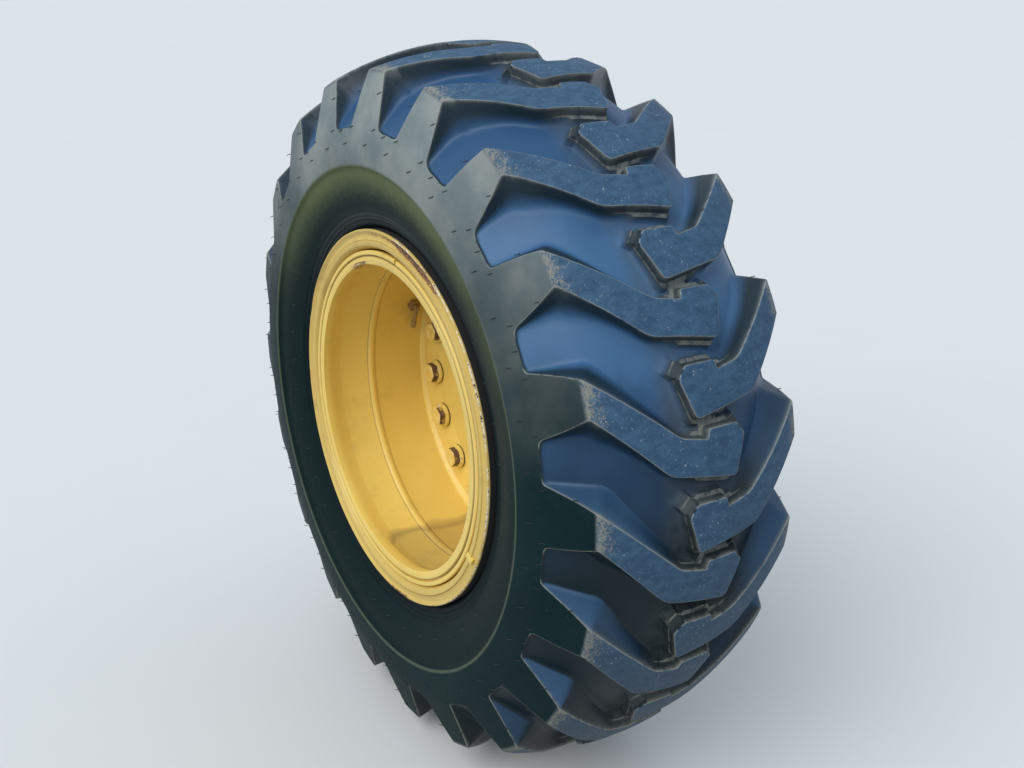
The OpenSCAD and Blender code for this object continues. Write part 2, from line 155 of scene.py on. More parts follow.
# %% [markdown]
# ## Writing a material as sums
# A finish is a few masks: dirt, chips, rust, dust. Each is easiest to read as arithmetic, so `Value`
# wraps a socket and turns +, -, * and / into Math nodes. `Finish` owns one material and adds any other
# node with one call. A mask is 0 where it leaves the surface alone and 1 where it takes over.

# %% One call for any node
def feed(tree, socket, value):
    """Links a value into a socket, or writes it there if it is a plain number or colour."""
    if isinstance(value, Value):
        value = value.socket
    if isinstance(value, bpy.types.NodeSocket):
        tree.links.new(value, socket)
    elif isinstance(value, tuple) and len(value) == 3 and socket.type == "RGBA":
        socket.default_value = (*value, 1)
    else:
        socket.default_value = value


def add_node(tree, kind, settings=None, values=None):
    """A node with its settings, which come first, and the values or links of its sockets."""
    made = tree.nodes.new(kind)
    for key, setting in (settings or {}).items():
        setattr(made, key, setting)
    for key, value in (values or {}).items():
        feed(tree, made.inputs[key], value)
    return made


# %% Sums of sockets
class Value:
    """A number that changes over the surface, as a socket that can be used in sums."""

    def __init__(self, finish, socket):
        self.finish = finish
        self.socket = socket

    def combine(self, operation, *others, swap=False):
        parts = [self, *others]
        if swap:
            parts.reverse()
        node = self.finish.node("ShaderNodeMath", {"operation": operation}, dict(enumerate(parts)))
        return Value(self.finish, node.outputs[0])

    def __add__(self, other):
        return self.combine("ADD", other)

    def __sub__(self, other):
        return self.combine("SUBTRACT", other)

    def __rsub__(self, other):
        return self.combine("SUBTRACT", other, swap=True)

    def __mul__(self, other):
        return self.combine("MULTIPLY", other)

    def __truediv__(self, other):
        return self.combine("DIVIDE", other)

    def __pow__(self, power):
        return self.combine("POWER", power)

    def __abs__(self):
        return self.combine("ABSOLUTE")

    __radd__ = __add__
    __rmul__ = __mul__

    def most(self, other):
        return self.combine("MAXIMUM", other)

    def least(self, other):
        return self.combine("MINIMUM", other)

    def rise(self, start, end):
        """0 at start and 1 at end, with a soft step between them; start may be the larger."""
        limits = {"Value": self, "From Min": min(start, end), "From Max": max(start, end)}
        made = self.finish.node("ShaderNodeMapRange", {"interpolation_type": "SMOOTHSTEP"}, limits)
        stepped = Value(self.finish, made.outputs[0])
        return stepped if start < end else 1 - stepped

    def rise_mm(self, start, end):
        """The same step between two lengths in millimetres."""
        return self.rise(start * MM, end * MM)


# %% A material and its textures
class Finish:
    """One material, with the places and noises that its masks are made of."""

    def __init__(self, name, coat=0.0):
        self.material = bpy.data.materials.new(name)
        self.material.use_nodes = True
        self.tree = self.material.node_tree
        self.shader = self.tree.nodes["Principled BSDF"]
        self.shader.inputs["Coat Weight"].default_value = coat
        self.place = self.node("ShaderNodeTexCoord").outputs["Object"]
        self.along, across, self.up = self.split(self.place)
        self.out = MIDDLE_Y - across
        self.radius = (self.along * self.along + self.up * self.up) ** 0.5

    def node(self, kind, settings=None, values=None):
        return add_node(self.tree, kind, settings, values)

    def split(self, vector):
        parts = self.node("ShaderNodeSeparateXYZ", {}, {0: vector}).outputs
        return [Value(self, part) for part in parts]

    def noise(self, scale, detail=4.0, roughness=0.55, stretch=None):
        vector = self.place
        if stretch:
            vector = self.node("ShaderNodeMapping", {}, {"Vector": self.place, "Scale": stretch}).outputs[0]
        values = {"Vector": vector, "Scale": scale, "Detail": detail, "Roughness": roughness}
        return Value(self, self.node("ShaderNodeTexNoise", {}, values).outputs[0])

    def specks(self, scale, size):
        """Small round marks in one cell of five, picked by the cell's own random number."""
        cells = self.node("ShaderNodeTexVoronoi", {}, {"Vector": self.place, "Scale": scale}).outputs
        chance = self.node("ShaderNodeSeparateColor", {}, {0: cells["Color"]}).outputs[0]
        return Value(self, cells["Distance"]).rise(size, size * 0.5) * Value(self, chance).rise(0.8, 0.82)

    def facing_up(self):
        """How far the surface faces up, -1 to 1, in the object's own frame."""
        normal = self.node("ShaderNodeNewGeometry").outputs["Normal"]
        to_object = {"vector_type": "NORMAL", "convert_from": "WORLD", "convert_to": "OBJECT"}
        return self.split(self.node("ShaderNodeVectorTransform", to_object, {0: normal}).outputs[0])[2]

    def attribute(self, name):
        return Value(self, self.node("ShaderNodeAttribute", {"attribute_name": name}).outputs["Fac"])

    def mix(self, factor, first, second):
        return self.node("ShaderNodeMix", {"data_type": "RGBA"}, {0: factor, 6: first, 7: second}).outputs[2]

    def finish(self, colour, roughness, metallic=None):
        for label, value in (("Base Color", colour), ("Roughness", roughness), ("Metallic", metallic)):
            if value is not None:
                feed(self.tree, self.shader.inputs[label], value)
        return self.material

    def bump(self, height, strength, distance):
        values = {"Height": height, "Strength": strength, "Distance": distance}
        feed(self.tree, self.shader.inputs["Normal"], self.node("ShaderNodeBump", {}, values).outputs[0])


# %% [markdown]
# ## Rubber
# New rubber is nearly black. This tyre is weathered: the tops of the lugs are scuffed to a dull slate
# with pale specks and scratches, and soil clings to the shoulder edges and the middle grooves, whose
# upper walls are also lightened as painted light. Dust and a painted sky sheen grey the upper sidewall;
# the cove and the rubber by the flange are painted dark as shade, and the sidewall's step and the lugs'
# worn edges carry a painted highlight. The moulded pockets carry a painted blue sky reflection that is
# bluest high on the tyre, a painted highlight at mid height and painted shade on their walls. The
# attribute `depth` runs from 0 on a lug's top to 1 on the groove floor, and `crest` is 1 along a lug's
# edge. The dusty sidewall has less gloss, and as gloss is a plain number, it is a second material.

# %% Rubber tones
# The pocket tones are painted light: the wall tones are painted shade, the floor tones a painted sky
# reflection, the brightest one a painted highlight, and the lit wall tone a painted reflection.
WALL_SHADE_LOW = (0.006, 0.013, 0.016)
WALL_SHADE_HIGH = (0.012, 0.026, 0.038)
WALL_LIT = (0.036, 0.092, 0.180)
POCKET_SHADE_LOW = (0.002, 0.011, 0.017)
POCKET_SKY_REFLECTION = (0.027, 0.083, 0.182)
POCKET_HIGHLIGHT = (0.066, 0.168, 0.322)
SIDE_BLACK = (0.002, 0.014, 0.017)
SIDE_SOOT = (0.005, 0.021, 0.023)
# The dust tones are dust and a painted sky sheen; the cove and bead tones are painted shade, the cove's green
# a painted sheen, and the step tone a painted highlight.
DUST_AND_SHEEN_GREY = (0.200, 0.245, 0.255)
DUST_AND_SHEEN_PALE = (0.315, 0.345, 0.335)
COVE_SHADE = (0.005, 0.015, 0.016)
COVE_SHEEN = (0.125, 0.150, 0.070)
BEAD_SHADE = (0.006, 0.010, 0.013)
STEP_HIGHLIGHT = (0.120, 0.150, 0.110)
SLATE_DEEP = (0.026, 0.070, 0.134)
SLATE_PALE = (0.053, 0.119, 0.205)
SLATE_GREY = (0.052, 0.070, 0.085)
SOIL = (0.300, 0.285, 0.225)
# The groove tone is soil, and also painted light that lifts the shade of the middle walls.
GROOVE_SOIL_AND_LIGHT = (0.100, 0.112, 0.108)
LEDGE_SOIL = (0.260, 0.265, 0.240)
# The edge tone is wear and a painted highlight along the lugs' edges.
EDGE_WEAR_AND_HIGHLIGHT = (0.330, 0.340, 0.300)
NICK_PALE = (0.42, 0.46, 0.48)


# %% Rubber
class Rubber(Finish):
    """The tyre's rubber, one method for each stretch of its surface."""

    def __init__(self, name, gloss):
        super().__init__(name)
        self.shader.inputs["Specular IOR Level"].default_value = gloss
        self.depth = self.attribute("depth")
        self.cloud = self.noise(5.0, 5)
        self.fine = self.noise(70.0, 6, 0.62)
        self.side = abs(self.out)
        self.height = self.up + (self.cloud - 0.5) * 0.3
        self.top = self.depth.rise(0.05, 0.01) * self.radius.rise_mm(624, 633)
        low = self.depth.rise(0.06, 0.01) * self.radius.rise_mm(636, 628)
        self.cheek = low * self.side.rise_mm(150, 190)

    def pocket(self):
        """Walls and floors of the pockets, all painted light: a painted sky reflection that makes them bluer
        high on the tyre, a painted highlight on the floors at mid height, walls painted dark as shade, and a
        painted reflection where a low wall faces up.
        """
        # Painted light: the floors grow bluer higher on the tyre as a painted sky reflection, a band at mid
        # height takes a painted highlight, and the walls stay darker as painted shade.
        above = self.height.rise(-0.12, 0.34)
        middle = self.height.rise(0.18, 0.28) * self.height.rise(0.50, 0.38)
        wall = self.mix(above, WALL_SHADE_LOW, WALL_SHADE_HIGH)
        floor = self.mix(middle * 0.65, self.mix(above, POCKET_SHADE_LOW, POCKET_SKY_REFLECTION), POCKET_HIGHLIGHT)
        colour = self.mix(self.depth.rise(0.45, 1.0), wall, floor)
        sloped = self.depth.rise(0.02, 0.06) * self.depth.rise(0.999, 0.98)
        # Painted reflection: sloped walls low on the tyre that face up take a bright blue.
        lit = self.facing_up().rise(0.05, 0.55) * self.height.rise(0.30, 0.02) * self.side.rise_mm(50, 150)
        return self.mix(lit * sloped * 0.85, colour, WALL_LIT)

    def sidewall(self):
        """Sooty below and grey above with dust and a painted sky sheen, painted shade in the cove with a
        painted olive sheen higher in it, painted shade by the flange, and a painted highlight along the
        protector's step.
        """
        colour = self.mix(self.cloud.rise(0.30, 0.70), SIDE_BLACK, SIDE_SOOT)
        # Dust and a painted sky sheen grey the upper sidewall.
        dust_and_sheen = self.mix(self.noise(9.0, 4).rise(0.35, 0.65), DUST_AND_SHEEN_GREY, DUST_AND_SHEEN_PALE)
        colour = self.mix(self.height.rise(0.05, 0.66) * 0.95, colour, dust_and_sheen)
        ragged = self.radius + (self.fine - 0.5) * 0.03
        # Painted shade in the hollow cove, and a painted olive sheen higher up in it.
        cove_shade_and_sheen = self.mix(self.height.rise(0.05, 0.50) * ragged.rise_mm(398, 470), COVE_SHADE, COVE_SHEEN)
        colour = self.mix(self.radius.rise_mm(474, 468) * self.radius.rise_mm(352, 400), colour, cove_shade_and_sheen)
        # Painted shade on the rubber next to the flange.
        colour = self.mix(self.radius.rise_mm(400, 360), colour, BEAD_SHADE)
        # A painted highlight along the protector's step.
        step = self.radius.rise_mm(467.5, 470.0) * self.radius.rise_mm(476.0, 472.5)
        return self.mix(step * 0.55, colour, STEP_HIGHLIGHT)

    def slate(self):
        """The scuffed tops, greyer low on the tyre."""
        brushed = self.noise(80.0, 6, 0.68, stretch=(1.0, 0.5, 1.0))
        colour = self.mix(brushed.rise(0.30, 0.72), SLATE_DEEP, SLATE_PALE)
        return self.mix(self.height.rise(0.10, -0.45) * 0.55, colour, SLATE_GREY)

    def nicks(self):
        """Pale specks in clusters and a few scratches across the tops."""
        cluster = self.noise(13.0, 3, 0.5).rise(0.46, 0.62)
        spots = self.noise(250.0, 3, 0.6).rise(0.645, 0.70) + self.noise(120.0, 3, 0.6).rise(0.672, 0.72)
        scratch = self.noise(130.0, 2, 0.5, stretch=(0.16, 1.0, 1.9)).rise(0.70, 0.78)
        marks = spots * (0.25 + cluster) + scratch * self.cloud.rise(0.44, 0.60) * 0.8
        return marks.least(1.0) * (self.top + self.cheek * 0.04)


def make_rubber(name, gloss):
    made = Rubber(name, gloss)
    top, fine, side = made.top, made.fine, made.side
    grain = made.noise(420.0, 3, 0.6)
    colour = made.mix(made.cheek, made.pocket(), made.sidewall())
    colour = made.mix(top, colour, made.slate())
    near_edge = side.rise_mm(150, 199)
    crumbs = (made.noise(190.0, 4, 0.65) + grain - 1) * 1.7 + (fine - 0.5) * 1.2
    soil = top * (near_edge * 0.85 + crumbs).rise(0.42, 1.00) * near_edge ** 0.6
    colour = made.mix(soil * 0.80, colour, SOIL)
    # Soil, and painted light that lifts the shade, high on the walls of the middle grooves.
    groove_soil_and_light = made.depth.rise(0.10, 0.30) * side.rise_mm(88, 50)
    colour = made.mix(groove_soil_and_light * (fine * 0.5 + made.cloud).rise(0.50, 0.95) * 0.50, colour, GROOVE_SOIL_AND_LIGHT)
    ledge = abs(made.depth - 0.53).rise(0.06, 0.02) * side.rise_mm(65, 50)
    colour = made.mix(ledge * fine.rise(0.30, 0.60) * 0.55, colour, LEDGE_SOIL)
    # Wear and a painted highlight along the lugs' edges.
    edge = made.attribute("crest") ** 8 * (fine * 0.7 + made.cloud * 0.5).rise(0.38, 0.62)
    colour = made.mix(edge * 0.85, colour, EDGE_WEAR_AND_HIGHLIGHT)
    nick = made.nicks()
    colour = made.mix(nick * 0.75, colour, NICK_PALE)
    rough = 0.34 + top * 0.20 + made.cheek * 0.10 + fine * 0.12 + (soil + groove_soil_and_light) * 0.25
    made.bump(fine * (0.15 + top * 0.9) + grain * (0.15 + top * 0.2) + nick * 0.6, 0.5, 0.8 * MM)
    return made.finish(colour, rough)


RUBBER = make_rubber("tread_rubber", 0.24)
SIDEWALL_RUBBER = make_rubber("sidewall_rubber", 0.06)

# %% [markdown]
# ## The tread module
# The tread repeats twenty times, so one pitch is enough. It is drawn unrolled: `s` runs across the tyre
# along its outer surface, and the angle is counted in pitches. A chain of corners walks round one lug
# and along the foot of the pocket beside it. Two surfaces lie over that plan, the envelope that the lug
# tops share and the floor of the grooves. Every point of the plan takes its height from its distance to
# the chain: a straight wall with its draft, then a fillet that runs out on the floor. Rows of points
# follow each bend of that profile, so that the wall's foot is a clean line however deep the groove is.

# %% Curves
def arc_lengths(points):
    steps = np.hypot(*np.diff(points, axis=0).T)
    return np.concatenate([[0], np.cumsum(steps)])


def on_curve(keys, curve, at):
    return np.column_stack([np.interp(at, keys, curve[:, 0]), np.interp(at, keys, curve[:, 1])])


def smooth(x, start, end):
    t = np.clip((x - start) / (end - start), 0, 1)
    return t * t * (3 - 2 * t)


def unit(step):
    return step / np.linalg.norm(step)


def soften(points, radius, steps=4):
    """Rounds each inner corner of a line with a short curve; radius may be a list, one for each corner."""
    points = [np.array(p, float) for p in points]
    radii = radius if isinstance(radius, list) else [radius] * len(points)
    rounded = [points[0]]
    for before, corner, after, most in zip(points[:-2], points[1:-1], points[2:], radii[1:-1]):
        if most == 0:
            rounded.append(corner)
            continue
        back, ahead = before - corner, after - corner
        reach = min(most, np.linalg.norm(back) * 0.45, np.linalg.norm(ahead) * 0.45)
        start, end = corner + unit(back) * reach, corner + unit(ahead) * reach
        for t in np.linspace(0, 1, steps + 1):
            rounded.append((1 - t) ** 2 * start + 2 * t * (1 - t) * corner + t * t * end)
    return np.array([*rounded, points[-1]])


def sweep(start, leave, arrive, end, steps):
    """A curve from start to end whose two handles are given as steps."""
    t = np.linspace(0, 1, steps + 1)[:, None]
    first, last = start + leave, end - arrive
    return (1 - t) ** 3 * start + 3 * (1 - t) ** 2 * t * first + 3 * (1 - t) * t * t * last + t ** 3 * end


# %% Section of the tread
LUGS = 20
PITCH = 2 * math.pi / LUGS
FIRST_CORNER = math.radians(5.4)
INBOARD_SHIFT = 0.47
SIDES = ((1, 0.0), (-1, INBOARD_SHIFT))
HALF_TREAD = 196.5 * MM
CROWN_R = 464 * MM
CROWN_POINTS = 40
FLOOR_R = 290 * MM
TREAD_DEPTH = 29 * MM
GROOVE_END = mm((535, 227.5))
GROOVE_STEP = 3.5 * MM
BELOW_GROOVES = 12 * MM
SWEEP_FROM = HALF_TREAD * 0.55
SWEEP_LEAVE = mm((-19.5, 52.5))
SWEEP_ARRIVE = mm((-40.0, 38.5))


def arched(high, radius, reach, count):
    """A shallow arch over the tyre's middle, from there out to `reach`."""
    v = np.linspace(0, reach, count)
    return np.column_stack([high - v ** 2 / (2 * radius), v])


crown = arched(TYRE_R, CROWN_R, HALF_TREAD, CROWN_POINTS)
plate = [mm((504, 233.1)), (478 * MM, TYRE_HALF - 0.3 * MM)]
outer_radii = [0.0] * (CROWN_POINTS - 1) + [7 * MM, 2 * MM, 20 * MM, 0]
outer = soften([*crown, GROOVE_END, *plate], outer_radii, 5)
outer_s = arc_lengths(outer)
S_SHOULDER = outer_s[np.argmin(np.hypot(*(outer - crown[-1]).T))]
S_END = outer_s[np.argmin(np.hypot(*(outer - GROOVE_END).T))]
S_LIMIT = S_END + BELOW_GROOVES

floor = arched(TYRE_R - TREAD_DEPTH, FLOOR_R, SWEEP_FROM, 20)
floor_end = GROOVE_END - (0, GROOVE_STEP)
floor = np.vstack([floor, sweep(floor[-1], SWEEP_LEAVE, SWEEP_ARRIVE, floor_end, 30)[1:]])
floor_share = arc_lengths(floor) / arc_lengths(floor)[-1]
print("shoulder at", round(S_SHOULDER, 4), "groove end at", round(S_END, 4))

# %% Plan of one pitch
PLAN_R = 640 * MM
PITCH_LENGTH = PITCH * PLAN_R
COPIES = range(-3, 4)
LUG_PLAN = [  # corner across the tyre (shares of the half tread), pitches from the shoulder corner, rounding
    ("end", 0.164, 9), ("buttress", 0.064, 12), ("shoulder", 0.0, 3),
    (0.328, -0.547, 10), (0.089, -0.594, 4), (0.071, -0.522, 4), (-0.204, -0.522, 5),
    (-0.282, -0.611, 8), (-0.173, -0.906, 8), (0.438, -0.806, 14),
    ("shoulder", -0.283, 3), ("buttress", -0.345, 12), ("end", -0.447, 14)]
NOSE = (6, 7)
HEAD = (9, 10, 12)
NAMED_S = {"end": S_END, "shoulder": S_SHOULDER, "buttress": S_SHOULDER + 0.35 * (S_END - S_SHOULDER)}
SPACING = 7.5 * MM


def plan_corner(k, side, shift):
    """A corner of one side's plan, before it is rounded."""
    share, pitches, _ = LUG_PLAN[k]
    s = NAMED_S[share] if isinstance(share, str) else share * HALF_TREAD
    return np.array([s * side, (pitches + shift) * PITCH_LENGTH])


def resample(chain):
    """Evenly spaced points along each straight, with the rounded corners kept."""
    points = [chain[0]]
    for a, b in zip(chain[:-1], chain[1:]):
        count = max(1, round(float(np.hypot(*(b - a))) / SPACING))
        points += [a + (b - a) * k / count for k in range(1, count + 1)]
    return np.array(points)


def build_chain(side, shift):
    """The chain over seven pitches: its points, and whether a wall runs from each of them to the next."""
    corners = [plan_corner(k, side, shift) for k in range(len(LUG_PLAN))]
    pitch_on = np.array([0, PITCH_LENGTH])
    radii = [0, *(rounding * MM for _, _, rounding in LUG_PLAN), 0]
    one = resample(soften([corners[-1] + pitch_on, *corners, corners[0] - pitch_on], radii)[1:-1])
    foot = resample([one[-1], one[0] - pitch_on])[1:-1]
    points, wall = [], []
    for copy in reversed(COPIES):
        points += [*(one + pitch_on * copy), *(foot + pitch_on * copy)]
        wall += [True] * (len(one) - 1) + [False] * (len(foot) + 1)
    return np.array(points), np.array(wall[:-1])


chains = [(side, *build_chain(side, shift)) for side, shift in SIDES]

# %% Where a point of the plan lies
FAR = 9.0
BLOCK = 1000


def distance_to(points, kind="all"):
    """Distance of each point to the nearest wall, pocket end or either, on both sides of the tyre."""
    best = np.full(len(points), FAR)
    for _, chain, wall in chains:
        wanted = {"all": wall | True, "wall": wall, "end": ~wall}[kind]
        starts, ends = chain[:-1][wanted], chain[1:][wanted]
        run = ends - starts
        length = (run ** 2).sum(1)
        for low in range(0, len(points), BLOCK):
            part = points[low:low + BLOCK, None, :] - starts[None]
            share = np.clip((part * run).sum(2) / length, 0, 1)
            gap = part - share[..., None] * run
            nearest = np.hypot(gap[..., 0], gap[..., 1]).min(1)
            best[low:low + BLOCK] = np.minimum(best[low:low + BLOCK], nearest)
    return best


def is_high(points):
    """Whether each point lies on a lug or on the sidewall, by counting crossings towards the side."""
    high = np.zeros(len(points), bool)
    for side, chain, _ in chains:
        starts, ends = chain[:-1], chain[1:]
        rise = ends[:, 1] - starts[:, 1]
        rise = np.where(rise == 0, 1e-12, rise)
        for low in range(0, len(points), BLOCK):
            x, y = points[low:low + BLOCK, 0, None] * side, points[low:low + BLOCK, 1, None]
            above = (starts[None, :, 1] > y) != (ends[None, :, 1] > y)
            cut = starts[:, 0] + (y - starts[:, 1]) / rise * (ends[:, 0] - starts[:, 0])
            high[low:low + BLOCK] |= (above & (cut * side < x)).sum(1) % 2 == 1
    return high


# %% [markdown]
# A lug's cut nose corner stands on a short ramp, a facet that slopes down to the groove floor. Near the
# tyre's middle the wall goes down in two ledges. At the head of a pocket two walls meet, and their feet
# join there in one arc. A smooth minimum of the distances to the two walls gives that arc: far from the
# corner it is the plain distance, and near the corner it is less, which draws the foot away from it.

# %% Ramps below the nose corners
RAMP_RUN = 27 * MM
RAMP_SKIRT = (0.5 * MM, 4 * MM)


def ramp_frames():
    """Middle, direction out of the lug, direction along it, and half width of each ramp."""
    frames = []
    for side, shift in SIDES:
        first, last = (plan_corner(k, side, shift) for k in NOSE)
        width = np.hypot(*(last - first))
        along = (last - first) / width
        frames.append(((first + last) / 2, np.array([along[1], -along[0]]) * side, along, width / 2))
    return frames


def ramp(points):
    """Share of the depth left by the sloping facet below each nose corner; 1 elsewhere."""
    share = np.ones(len(points))
    for middle, out, along, half in ramp_frames():
        for copy in COPIES:
            away = points - middle - [0, copy * PITCH_LENGTH]
            reach, sideways = away @ out, np.abs(away @ along)
            slope = np.clip(reach / RAMP_RUN, 0, 1)
            wall = smooth(sideways, half + RAMP_SKIRT[0], half + RAMP_SKIRT[1])
            inside = (reach > -1 * MM) & (sideways < half + RAMP_SKIRT[1])
            share = np.where(inside, np.minimum(share, slope + (1 - slope) * wall), share)
    return share


# %% Profile of the walls
DRAFT = math.radians(14)
SHOULDER_DRAFT = math.radians(27)
DRAFT_GROWS = (90 * MM, 190 * MM)
FILLET = 10 * MM
FILLET_TURNS = (0.74, 0.50, 0.26, 0.0)
LEDGE_GAPS = mm([0.0, 1.0, 4.0, 10.0, 13.0, 16.0, 24.0])
LEDGE_FALLS = np.array([0.0, 0.25, 0.50, 0.56, 0.90, 0.97, 1.0])
LEDGE_FADE = (34 * MM, 58 * MM)


def top_and_floor(s):
    """The envelope of the lugs and the floor of the grooves below it, at distances across the tyre."""
    return on_curve(outer_s, outer, s), on_curve(floor_share, floor, np.clip(s / S_END, 0, 1))


def wall_bends(s):
    """Distances from a lug's edge, and shares of the way down, at which its wall bends: a straight wall and
    a fillet that runs out on the floor, or near the tyre's middle two ledges. One row for each bend."""
    top, bottom = top_and_floor(s)
    depth = np.maximum(np.hypot(*(bottom - top).T), 1e-5)
    draft = DRAFT + (SHOULDER_DRAFT - DRAFT) * smooth(s, *DRAFT_GROWS)
    turn = math.pi / 2 - draft
    straight = np.maximum(depth - FILLET * (1 - np.cos(turn)), 0)
    turns = np.minimum(turn, np.arccos(np.clip(1 - depth / FILLET, -1, 1)))
    run = straight * np.tan(draft)
    gaps, falls = [0 * s, run * 0.5, run], [0 * s, straight * 0.5 / depth, straight / depth]
    for share in FILLET_TURNS:
        gaps.append(run + FILLET * (np.sin(turns) - np.sin(turns * share)))
        falls.append(1 - FILLET * (1 - np.cos(turns * share)) / depth)
    middle = 1 - smooth(s, *LEDGE_FADE)
    gaps = np.array(gaps) * (1 - middle) + LEDGE_GAPS[:, None] * middle
    return gaps, np.array(falls) * (1 - middle) + LEDGE_FALLS[:, None] * middle


# %% The arc at a pocket's head
CORNER_POWER = 1.7
EASE_STEPS = mm(np.linspace(0, 70, 71))


def head_corners():
    """The corner at the head of each side's pocket, with the directions away from its two walls."""
    corners = []
    for side, shift in SIDES:
        tread, corner, end = (plan_corner(k, side, shift) for k in HEAD)
        away = []
        for start, stop in ((tread, corner), (corner, end)):
            run = (stop - start) / np.hypot(*(stop - start))
            away.append(np.array([run[1], -run[0]]) * side)
        corners.append((corner, *away))
    return corners


def eased(points, gap):
    """The distance from the wall, made less near a pocket's head, so that the feet there join in an arc."""
    less = np.zeros(len(points))
    for corner, first, second in head_corners():
        for copy in COPIES:
            away = points - corner - [0, copy * PITCH_LENGTH]
            one, two = away @ first, away @ second
            near, other = np.maximum(np.minimum(one, two), 1e-7), np.maximum(np.maximum(one, two), 1e-7)
            pull = near * (1 - (1 + (near / other) ** CORNER_POWER) ** (-1 / CORNER_POWER))
            less = np.maximum(less, np.where(near > 1e-6, pull - np.maximum(near - gap, 0), 0))
    return gap - less


# %% Points of one pitch
ROWS_IN = mm([2.0, 7.0])
ROWS_PAST = mm([5.0, 14.0])
END_ROWS = mm([0.5, 1.5, 3.0, 5.5, 9.0, 14.0, 20.0, 28.0])
FAN = np.linspace(0.08, 0.92, 13)
FAN_ROOM = 2.2 * MM
SHOULDER_ROWS = (-7, -3.5, 0, 3.5, 7)
FREE_STEP = 11 * MM
FREE_ROOM = 7 * MM
CELL = 3.5 * MM
BORDER = 12
JITTER = 0.04
JUST_SHORT = PITCH_LENGTH - 1e-6
random_draw = np.random.default_rng(17)


def line_at(s, y):
    """Points at one distance across the tyre."""
    return np.column_stack([np.full(len(y), s), y])


def thin_out(points, cells, least):
    """Adds the points that keep their own least distance from those already in the cells."""
    for (x, y), room in zip(points, np.broadcast_to(least, len(points))):
        i, j = int(x // CELL), int(y // CELL)
        reach = range(-int(room // CELL) - 1, int(room // CELL) + 2)
        near = [q for a in reach for b in reach for q in cells.get((i + a, j + b), ())]
        if all(math.hypot(x - q[0], y - q[1]) >= room for q in near):
            cells.setdefault((i, j), []).append((x, y))


def wrapped(points):
    """Points moved by whole pitches into the first one."""
    moved = np.array(points)
    moved[:, 1] = np.mod(moved[:, 1], PITCH_LENGTH)
    return moved


def row_gaps(s):
    """Distances from the wall at which rows of points lie: its bends, and two more past its foot."""
    gaps, _ = wall_bends(np.abs(s))
    return np.vstack([gaps[1:], *(gaps[-1] + past for past in ROWS_PAST)])


def eased_out(seen, steps, wanted):
    """How far to go along each ray to be the wanted eased distance away, from those seen at the steps."""
    return np.array([np.interp(w, seen[:, k], steps) for k, w in enumerate(wanted)])


def wall_rows(chain, wall, side):
    """Rows of points along both sides of the chain, each with the distance that it keeps from others."""
    ends = ~np.append(wall, True) | ~np.append(True, wall)
    run = np.gradient(chain, axis=0)
    run /= np.maximum(np.hypot(run[:, 0], run[:, 1]), 1e-9)[:, None]
    into_groove = np.column_stack([run[:, 1], -run[:, 0]]) * side
    whole = (chain[:, 1] > -0.5 * PITCH_LENGTH) & (chain[:, 1] <= 0.5 * PITCH_LENGTH)
    base, into_groove, ends = chain[whole], into_groove[whole], ends[whole]
    gaps = np.where(ends, END_ROWS[:, None], row_gaps(base[:, 0]))
    rows = [(base - into_groove * reach, np.full(len(base), 0.5 * reach), reach) for reach in ROWS_IN]
    seen = np.array([eased(base + into_groove * step, step) for step in EASE_STEPS])
    for before, reach in zip(np.vstack([0 * gaps[:1], gaps[:-1]]), gaps):
        room = np.clip((reach - before) * 0.6, 0.3 * MM, 3 * MM)
        far = np.where(ends, reach, eased_out(seen, EASE_STEPS, reach))
        rows.append((base + into_groove * far[:, None], room, far))
    return base, rows


def fan_rows(corner, first, second):
    """The same rows round the corner at a pocket's head, along a fan of directions."""
    fan = [first * (1 - t) + second * t for t in FAN]
    fan = np.array([way / np.hypot(*way) for way in fan])
    nearest = np.minimum(fan @ first, fan @ second)
    steps = EASE_STEPS * 2
    seen = np.array([eased(corner + fan * step, nearest * step) for step in steps])
    gaps = row_gaps(np.full(len(fan), corner[0]))
    return [corner + fan * eased_out(seen, steps, reach)[:, None] for reach in gaps]


def pitch_points():
    cells, bases, levels = {}, [], []
    for head in head_corners():
        for level, row in enumerate(fan_rows(*head)):
            levels.append((level + len(ROWS_IN), row, np.full(len(row), FAN_ROOM)))
    for side, chain, wall in chains:
        base, rows = wall_rows(chain, wall, side)
        bases.append(base)
        for level, (row, room, reach) in enumerate(rows):
            clear = distance_to(row) > reach * 0.93 - 0.05 * MM
            levels.append((level, row[clear], room[clear]))
    thin_out(wrapped(np.vstack(bases)), cells, 0.0)
    for _, row, room in sorted(levels, key=lambda item: item[0]):
        thin_out(wrapped(row), cells, room)
    for offset in SHOULDER_ROWS:
        for side, _ in SIDES:
            line = line_at(side * (S_SHOULDER + offset * MM), np.arange(0, JUST_SHORT, 6 * MM))
            thin_out(line[is_high(line) & (distance_to(line) > 1.5 * MM)], cells, 2 * MM)
    for middle, out, along, half in ramp_frames():
        near, far = half + RAMP_SKIRT[0], half + RAMP_SKIRT[1]
        for sideways in (-far, -near, 0, near, far):
            line = np.array([middle + along * sideways + out * r * MM for r in np.arange(3, 30, 4.4)])
            thin_out(wrapped(line), cells, 1.6 * MM)
    across = np.arange(-S_LIMIT + 5 * MM, S_LIMIT - 4 * MM, FREE_STEP * 0.87)
    grid = np.array([(x, y) for i, x in enumerate(across)
                     for y in np.arange((i % 2) * FREE_STEP / 2, JUST_SHORT, FREE_STEP)])
    thin_out(grid[distance_to(grid) > 9 * MM], cells, FREE_ROOM)
    kept = np.array([p for cell in cells.values() for p in cell])
    return kept + random_draw.uniform(-JITTER, JITTER, kept.shape) * MM


